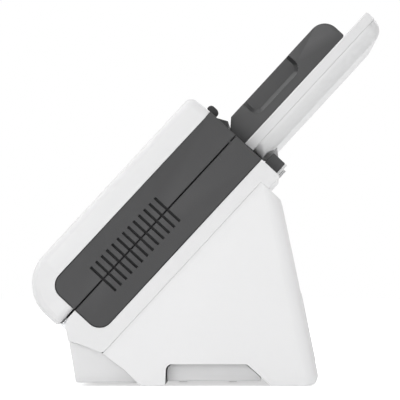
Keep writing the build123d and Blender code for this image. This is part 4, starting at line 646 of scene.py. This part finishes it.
# %% Keys, console, pads, sensors and motor
for node in ("power_button", "scan_button", "mode_button"):
    rounded_copy(node, key_plastic, SMALL_ROUNDING)
rounded_copy("control_console", console_finish, ROUNDING)
rounded_copy("rubber_feet", pad_rubber, ROUNDING)
rounded_copy("lower_image_sensor", black_plastic, ROUNDING)
rounded_copy("upper_image_sensor", black_plastic, ROUNDING)
rounded_copy("drive_motor", zinc_plate, ROUNDING)
print("all rounded copies:", count_rounded())

# %% [markdown]
# All other pieces keep their own solids and only get their finish: the big shells,
# the chassis, the shafts, the electronics and the small metal parts.

# %% Finishes for the pieces that keep their solids
plate_film = moulded_plastic("plate_film", (0.62, 0.62, 0.63), 0.30, 0.000004, rounding=0.0001)
FINISHES = {
    white_plastic: ["front_cover", "rear_shell", "tray_back_cover", "eject_flap"],
    lit_stand_plastic: ["stand_shell"],
    dark_plastic: ["lower_paper_guide", "upper_paper_guide"],
    frame_steel: ["right_frame", "left_frame", "stay_bars"],
    turned_steel: ["frame_pins", "tray_hinge_pins", "latch_pin", "latch_spring", "feed_shaft",
                   "transport_shaft", "exit_shaft"],
    zinc_plate: ["frame_screws", "board_posts", "usb_port"],
    roller_rubber: ["transport_rollers", "exit_rollers", "feed_rollers"],
    retard_rubber: ["separation_roller"],
    belt_rubber: ["drive_belt"],
    natural_plastic: ["transport_idlers", "exit_idlers", "shaft_bushes", "transport_gear",
                      "motor_pinion", "guide_pinion"],
    black_plastic: ["power_jack"],
    sensor_glass: ["lower_sensor_glass", "upper_sensor_glass"],
    board_finish: ["main_board", "switch_board"],
    plate_film: ["rating_plate"],
}
for material, nodes in FINISHES.items():
    for node in nodes:
        frame["nodes"][node].material_slots[0].material = material
print("finished solids:", sum(len(nodes) for nodes in FINISHES.values()))

# %% [markdown]
# Small details are added in code. Most are thin plates with a drawn outline:
# printed symbols, liners, contacts. One helper pushes flat outlines, given in
# millimetres, up from a plane, and hands the piece to its body.

# %% Helper for plates with an outline
def new_piece(name, work, material, body, matrix=Matrix()):
    """Makes an object from mesh work in millimetres, placed by a matrix in metres."""
    work.transform(matrix @ Matrix.Scale(MM, 4))
    bmesh.ops.recalc_face_normals(work, faces=work.faces)
    mesh = bpy.data.meshes.new(name)
    work.to_mesh(mesh)
    work.free()
    mesh.materials.append(material)
    piece = bpy.data.objects.new(name, mesh)
    scene.collection.objects.link(piece)
    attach(piece, body)


def add_plate(work, outline, low, high):
    """A straight-sided plate from a closed outline, between two heights."""
    bottom = [work.verts.new((x, y, low)) for x, y in outline]
    top = [work.verts.new((x, y, high)) for x, y in outline]
    work.faces.new(bottom)
    work.faces.new(top)
    for i in range(len(outline)):
        j = (i + 1) % len(outline)
        work.faces.new((bottom[i], bottom[j], top[j], top[i]))


def box_outline(x_low, y_low, x_high, y_high):
    return [(x_low, y_low), (x_high, y_low), (x_high, y_high), (x_low, y_high)]


def arc(radius, start, end, steps, centre=(0, 0)):
    """Points on an arc, with its angles in degrees."""
    points = []
    for i in range(steps + 1):
        angle = math.radians(start + (end - start) * i / steps)
        x = centre[0] + radius * math.cos(angle)
        y = centre[1] + radius * math.sin(angle)
        points.append((x, y))
    return points


def band_outline(inner, outer, start, end, steps=40):
    """A ring, or a part of one."""
    return arc(outer, start, end, steps) + arc(inner, end, start, steps)


def rounded_outline(half_x, half_y, corner, centre=(0, 0), steps=6):
    """A rectangle with rounded corners."""
    points = []
    for sign_x, sign_y, start in ((1, 1, 0), (-1, 1, 90), (-1, -1, 180), (1, -1, 270)):
        middle_x = centre[0] + sign_x * (half_x - corner)
        middle_y = centre[1] + sign_y * (half_y - corner)
        points += arc(corner, start, start + 90, steps, (middle_x, middle_y))
    return points


print("outline points of a ring:", len(band_outline(2.2, 2.7, 0, 300)))

# %% [markdown]
# The side vents are slots through the dark panels. Behind them lies a black baffle
# that keeps dust and stray light out of the paper path. Its near-black colour is
# painted shade: it gives the slots the dark grey floor that the shaded inside of the
# casing would. It is split at the parting plane, so that the front half swings
# away with the cover. A lip on the rear half laps behind the split, so no light
# passes straight through the paper path.

# %% Baffles behind the vents
BAFFLE_ALONG = (35.0, 101.0)
BAFFLE_DEPTH = 12.0
BAFFLE_X = 146.2
BAFFLE_THICKNESS = 0.6
BAFFLE_LIP = 1.2
LIP_GAP = 0.15
DOOR_GAP = 0.6
BASE_GAP = 0.2
# Near-black painted shade for the floor of the vent slots.
vent_shade_plastic = moulded_plastic("vent_shade_plastic", (0.010, 0.010, 0.011), 0.7, 0.00002)


def side_matrix(side):
    """Axes of a side face: x up the slope, y forward, z outwards."""
    rotation = Matrix((UP_SLOPE, FORWARD, ACROSS * side)).transposed().to_4x4()
    return Matrix.Translation(on_slope(0, 0, 0)) @ rotation


for side, name in ((1, "right"), (-1, "left")):
    for body, low, high in (("door", DOOR_GAP, BAFFLE_DEPTH), ("base", -BAFFLE_DEPTH, -BASE_GAP)):
        work = bmesh.new()
        outline = box_outline(BAFFLE_ALONG[0], low, BAFFLE_ALONG[1], high)
        inner = BAFFLE_X - (LIP_GAP if body == "base" else 0)
        add_plate(work, outline, inner, BAFFLE_X + BAFFLE_THICKNESS)
        if body == "base":
            lip = box_outline(BAFFLE_ALONG[0], -2 * BAFFLE_LIP, BAFFLE_ALONG[1], BAFFLE_LIP)
            add_plate(work, lip, inner - BAFFLE_THICKNESS, inner)
        new_piece(f"{name}_{body}_baffle", work, vent_shade_plastic, body,
                  side_matrix(side))
print("baffle ends at x =", round(BAFFLE_X + BAFFLE_THICKNESS, 1))

# %% [markdown]
# A short moulded line on each rear panel marks where to put a fingernail to start
# the cover opening. It is a raised hairline a third of a millimetre wide.

# %% Opening marks on the rear panels
PANEL_FACE_X = 149.6
MARK_ALONG = 139.9
MARK_HALF_WIDTH = 0.17
MARK_DEPTHS = (-3.7, -0.8)
MARK_RISE = 0.06
for side, name in ((1, "right"), (-1, "left")):
    work = bmesh.new()
    ends = (MARK_ALONG - MARK_HALF_WIDTH, MARK_ALONG + MARK_HALF_WIDTH)
    outline = box_outline(ends[0], MARK_DEPTHS[0], ends[1], MARK_DEPTHS[1])
    add_plate(work, outline, PANEL_FACE_X - 0.1, PANEL_FACE_X + MARK_RISE)
    new_piece(name + "_opening_mark", work, dark_plastic, "base", side_matrix(side))
print("mark stands proud by", MARK_RISE, "mm")

# %% [markdown]
# The keys carry plain printed symbols: a broken ring with a bar for power, a filled
# triangle to start, and a sheet with a folded corner for the kind of paper. Ink
# stands only a few hundredths of a millimetre proud of the key.

# %% Symbols on the keys
KEY_X = 75.0
KEY_FACE = 36.2
POWER_ALONG = 126.0
SCAN_ALONG = 101.0
MODE_ALONG = 78.0
INK = 0.04
ink = moulded_plastic("pale_ink", (0.82, 0.82, 0.82), 0.5, 0.000004, rounding=0.00003)


def symbol(name, outlines, along, body):
    work = bmesh.new()
    for outline in outlines:
        add_plate(work, outline, -INK, INK)
    new_piece(name, work, ink, body, slope_matrix(KEY_X, along, KEY_FACE))


power_ring = band_outline(2.1, 2.65, 120, 420)
power_bar = box_outline(-0.27, 0.9, 0.27, 3.2)
symbol("power_symbol", [power_ring, power_bar], POWER_ALONG, "power_key")
start_arrow = [(-1.9, -2.6), (2.8, 0.0), (-1.9, 2.6)]
symbol("scan_symbol", [start_arrow], SCAN_ALONG, "scan_key")
sheet_parts = [
    box_outline(-1.5, -2.0, -1.1, 2.0),
    box_outline(-1.1, -2.0, 1.5, -1.6),
    box_outline(1.1, -1.6, 1.5, 0.9),
    box_outline(-1.1, 1.6, 0.4, 2.0),
    [(0.4, 2.0), (0.4, 0.9), (1.5, 0.9)],
]
symbol("mode_symbol", sheet_parts, MODE_ALONG, "mode_key")
print("symbols at", POWER_ALONG, SCAN_ALONG, MODE_ALONG)

# %% [markdown]
# Two status lamps sit in the console beside the power key. Each is a small clear
# lens with a milky core, let into the gloss face and standing a little proud.

# %% Status lamps
LAMP_RADIUS = 1.1
LAMP_X = (62.5, 87.5)
LAMP_SINK = 0.2
CONSOLE_FACE = 35.8
LAMP_RISE = 0.3
LAMP_RINGS = 5
LAMP_SIDES = 28
lamp_lens = start_material("lamp_lens", (0.62, 0.70, 0.64), 0.22)
lamp_lens.node_tree.nodes["Principled BSDF"].inputs["Coat Weight"].default_value = 0.6
lamp_grain = texture(lamp_lens, "Noise", 900, Detail=2.0)
add_bump(lamp_lens, lamp_grain.outputs["Fac"], 0.00001)
shade_between(lamp_lens, lamp_grain.outputs["Fac"], (0.50, 0.58, 0.52), (0.70, 0.78, 0.72))


def add_dome(work, radius, rise, sink):
    """A shallow dome on a short wall, turned about the z axis."""
    profile = [(radius, -sink)]
    for i in range(LAMP_RINGS + 1):
        angle = math.pi / 2 * i / LAMP_RINGS
        profile.append((radius * math.cos(angle), rise * math.sin(angle)))
    rings = []
    for reach, height in profile[:-1]:
        ring = []
        for step in range(LAMP_SIDES):
            angle = 2 * math.pi * step / LAMP_SIDES
            point = (reach * math.cos(angle), reach * math.sin(angle), height)
            ring.append(work.verts.new(point))
        rings.append(ring)
    for low, high in zip(rings, rings[1:]):
        for i in range(LAMP_SIDES):
            j = (i + 1) % LAMP_SIDES
            work.faces.new((low[i], low[j], high[j], high[i])).smooth = True
    tip = work.verts.new((0, 0, rise))
    for i in range(LAMP_SIDES):
        work.faces.new((rings[-1][i], rings[-1][(i + 1) % LAMP_SIDES], tip)).smooth = True
    work.faces.new(rings[0])


for number, x in enumerate(LAMP_X, start=1):
    work = bmesh.new()
    add_dome(work, LAMP_RADIUS, LAMP_RISE, LAMP_SINK)
    new_piece(f"status_lamp_{number}", work, lamp_lens, "door",
              slope_matrix(x, POWER_ALONG, CONSOLE_FACE))
print("status lamps:", len(LAMP_X))

# %% [markdown]
# Fine lines on the tray's face, above the paper guides, show how wide to set the
# guides for the usual sheets. They are plain pad-printed ticks without lettering.

# %% Paper width ticks on the tray
TRAY_FACE = -6.9
TICK_ALONG = (249.0, 256.0)
PAPER_HALF_WIDTHS = (44.0, 52.5, 74.0, 91.0, 105.0, 108.0)
TICK_HALF_WIDTH = 0.2
tick_ink = moulded_plastic("tick_ink", (0.30, 0.30, 0.31), 0.5, 0.000004, rounding=0.00003)
work = bmesh.new()
for half_width in PAPER_HALF_WIDTHS:
    for side in (1, -1):
        low_x = side * half_width - TICK_HALF_WIDTH
        high_x = side * half_width + TICK_HALF_WIDTH
        add_plate(work, box_outline(low_x, TICK_ALONG[0], high_x, TICK_ALONG[1]), -INK, INK)
centre_arrow = [(-1.6, TICK_ALONG[1]), (0.0, TICK_ALONG[0]), (1.6, TICK_ALONG[1])]
add_plate(work, centre_arrow, -INK, INK)
new_piece("paper_width_ticks", work, tick_ink, "tray",
          slope_matrix(0, 0, TRAY_FACE))
print("ticks:", 2 * len(PAPER_HALF_WIDTHS))

# %% [markdown]
# Sheets slide on fine ribs, so that a smooth page doesn't cling to the guides. The
# ribs run along the paper path, keep clear of the rollers, and have rounded backs.

# %% Ribs on the paper guides
RIB_HEIGHT = 0.3
RIB_HALF_WIDTH = 0.6
RIB_STEPS = 6
RIB_X = (0, 12, 45, 57, 69, 100, 110)
RIB_RUNS = ((12.0, 54.0), (93.0, 119.0))
RIB_RAMP = 1.5
RIB_SINK = 0.02
GUIDE_FACE = 1.0


def add_rib(work, x, low, high):
    """A half-round rib along y whose ends run down to the face."""
    rows = []
    for y, share in ((low, 0.0), (low + RIB_RAMP, 1.0), (high - RIB_RAMP, 1.0), (high, 0.0)):
        row = []
        for i in range(RIB_STEPS + 1):
            angle = math.pi * i / RIB_STEPS
            rise = RIB_HEIGHT * math.sin(angle) * share
            across = x + RIB_HALF_WIDTH * math.cos(angle)
            row.append(work.verts.new((across, y, rise - RIB_SINK)))
        rows.append(row)
    for first, second in zip(rows, rows[1:]):
        for i in range(RIB_STEPS):
            work.faces.new((first[i], first[i + 1], second[i + 1], second[i])).smooth = True


for body, side, name in (("base", -1, "lower"), ("door", 1, "upper")):
    work = bmesh.new()
    for x in RIB_X:
        for sign in ((1,) if x == 0 else (1, -1)):
            for low, high in RIB_RUNS:
                add_rib(work, sign * x, low, high)
    turn = slope_matrix(0, 0, side * GUIDE_FACE, normal=-side)
    new_piece(name + "_guide_ribs", work, dark_plastic, body, turn)
print("ribs on each guide:", (2 * len(RIB_X) - 1) * len(RIB_RUNS))

# %% [markdown]
# Under each glass lies the contact image sensor: a pale light guide that spreads
# the lamp's light across the page, and beside it a dark row of tiny rod lenses.

# %% Light guides and lens rows under the glass
SENSOR_FACE = 2.56
SENSOR_HALF_WIDTH = 108.0
LIGHT_GUIDE_ALONG = (68.5, 71.5)
LENS_ROW_ALONG = (73.0, 74.6)
CORNER_SHARE = 0.6
lens_row = moulded_plastic("lens_row", (0.02, 0.02, 0.024), 0.12, 0.00001, rounding=0.00005)
lens_beads = texture(lens_row, "Wave", 900, bands_direction="X")
add_bump(lens_row, lens_beads.outputs["Fac"], 0.0001)
light_guide = moulded_plastic("light_guide", (0.78, 0.80, 0.78), 0.16, 0.000005, rounding=0.0001)
for body, side, name in (("base", -1, "lower"), ("door", 1, "upper")):
    turn = slope_matrix(0, 0, side * SENSOR_FACE, normal=-side)
    for part, material, (low, high) in (("light_guide", light_guide, LIGHT_GUIDE_ALONG),
                                        ("lens_row", lens_row, LENS_ROW_ALONG)):
        work = bmesh.new()
        half = (high - low) / 2
        middle = (0, (low + high) / 2)
        outline = rounded_outline(SENSOR_HALF_WIDTH, half, half * CORNER_SHARE, middle)
        add_plate(work, outline, -0.02, 0.03)
        new_piece(f"{name}_{part}", work, material, body, turn)
print("each light guide is", 2 * SENSOR_HALF_WIDTH, "mm long")

# %% [markdown]
# The data port's tongue carries four gilt contacts on its lower face, and the power
# socket has a turned centre pin with a rounded tip.

# %% Contacts in the ports
PORT_FACE_Y = 60.3
DATA_PORT_X = -86.0
POWER_JACK_X = -110.0
PORT_MIDDLE_Z = 34.1
TONGUE_RISE = 2.0
TONGUE_THICKNESS = 0.7
TONGUE_UNDERSIDE = PORT_MIDDLE_Z + TONGUE_RISE - TONGUE_THICKNESS
CONTACT_X = (-1.95, -0.65, 0.65, 1.95)
CONTACT_HALF_WIDTH = 0.32
CONTACT_Y = (50.5, 58.0)
work = bmesh.new()
for offset in CONTACT_X:
    low_x = DATA_PORT_X + offset - CONTACT_HALF_WIDTH
    high_x = DATA_PORT_X + offset + CONTACT_HALF_WIDTH
    outline = box_outline(low_x, CONTACT_Y[0], high_x, CONTACT_Y[1])
    add_plate(work, outline, TONGUE_UNDERSIDE - 0.08, TONGUE_UNDERSIDE + 0.02)
new_piece("data_contacts", work, gilt_contact, "base")
PIN_RADIUS = 0.95
PIN_TIP = 0.9
PIN_LENGTH = 7.0
PIN_SETBACK = 2.2
work = bmesh.new()
add_dome(work, PIN_RADIUS, PIN_TIP, PIN_LENGTH)
pin_end = Vector((POWER_JACK_X, PORT_FACE_Y - PIN_SETBACK, PORT_MIDDLE_Z))
pin_turn = Matrix.Translation(pin_end * MM) @ Matrix.Rotation(math.radians(-90), 4, "X")
new_piece("power_pin", work, turned_steel, "base", pin_turn)
print("contacts in the data port:", len(CONTACT_X))

# %% [markdown]
# Six screws hold the bottom cover. Each has a flat round head with a small chamfer
# and a cross recess, which a punch presses in when the head is formed. Here the head
# is made of rings of points, and its recess is a lowered cross in the middle.

# %% Screws under the bottom cover
SCREW_X = (-120.0, 0.0, 120.0)
SCREW_Y = (-14.0, 16.0)
COVER_UNDERSIDE_Z = 2.9
HEAD_RADIUS = 2.7
HEAD_HEIGHT = 1.3
HEAD_CHAMFER = 0.3
HEAD_SIDES = 32
CROSS_REACH = 1.5
CROSS_HALF_WIDTH = 0.33
CROSS_DEPTH = 0.8


def cross_outline():
    """The cross recess seen from below, round its middle."""
    points = []
    for turn in range(4):
        angle = math.pi / 2 * turn
        c, s = math.cos(angle), math.sin(angle)
        for u, v in ((CROSS_HALF_WIDTH, CROSS_HALF_WIDTH), (CROSS_REACH, CROSS_HALF_WIDTH),
                     (CROSS_REACH, -CROSS_HALF_WIDTH)):
            points.append((c * u - s * v, s * u + c * v))
    return sorted(points, key=lambda point: math.atan2(point[1], point[0]))


def add_screw_head(work, x, y):
    """A round head below a face, with a cross recess that opens downwards."""
    low = COVER_UNDERSIDE_Z - HEAD_HEIGHT
    rings = []
    for radius, height in ((HEAD_RADIUS, COVER_UNDERSIDE_Z), (HEAD_RADIUS, low + HEAD_CHAMFER),
                           (HEAD_RADIUS - HEAD_CHAMFER, low)):
        circle = arc(radius, 0, 360 - 360 / HEAD_SIDES, HEAD_SIDES - 1)
        rings.append([work.verts.new((x + px, y + py, height)) for px, py in circle])
    for first, second in zip(rings, rings[1:]):
        for i in range(HEAD_SIDES):
            j = (i + 1) % HEAD_SIDES
            work.faces.new((first[i], first[j], second[j], second[i])).smooth = True
    edges = [work.edges.get((rings[2][i - 1], rings[2][i])) for i in range(HEAD_SIDES)]
    rim = [work.verts.new((x + px, y + py, low)) for px, py in cross_outline()]
    edges += [work.edges.new((rim[i - 1], rim[i])) for i in range(len(rim))]
    bmesh.ops.triangle_fill(work, use_beauty=True, use_dissolve=False, edges=edges)
    for face in [f for f in work.faces if all(v in rim for v in f.verts)]:
        work.faces.remove(face)
    floor = [work.verts.new((v.co.x, v.co.y, low + CROSS_DEPTH)) for v in rim]
    for i in range(len(rim)):
        work.faces.new((rim[i - 1], rim[i], floor[i], floor[i - 1]))
    work.faces.new(floor)


work = bmesh.new()
for x in SCREW_X:
    for y in SCREW_Y:
        add_screw_head(work, x, y)
new_piece("bottom_cover_screws", work, turned_steel, "base")
print("screws:", len(SCREW_X) * len(SCREW_Y))
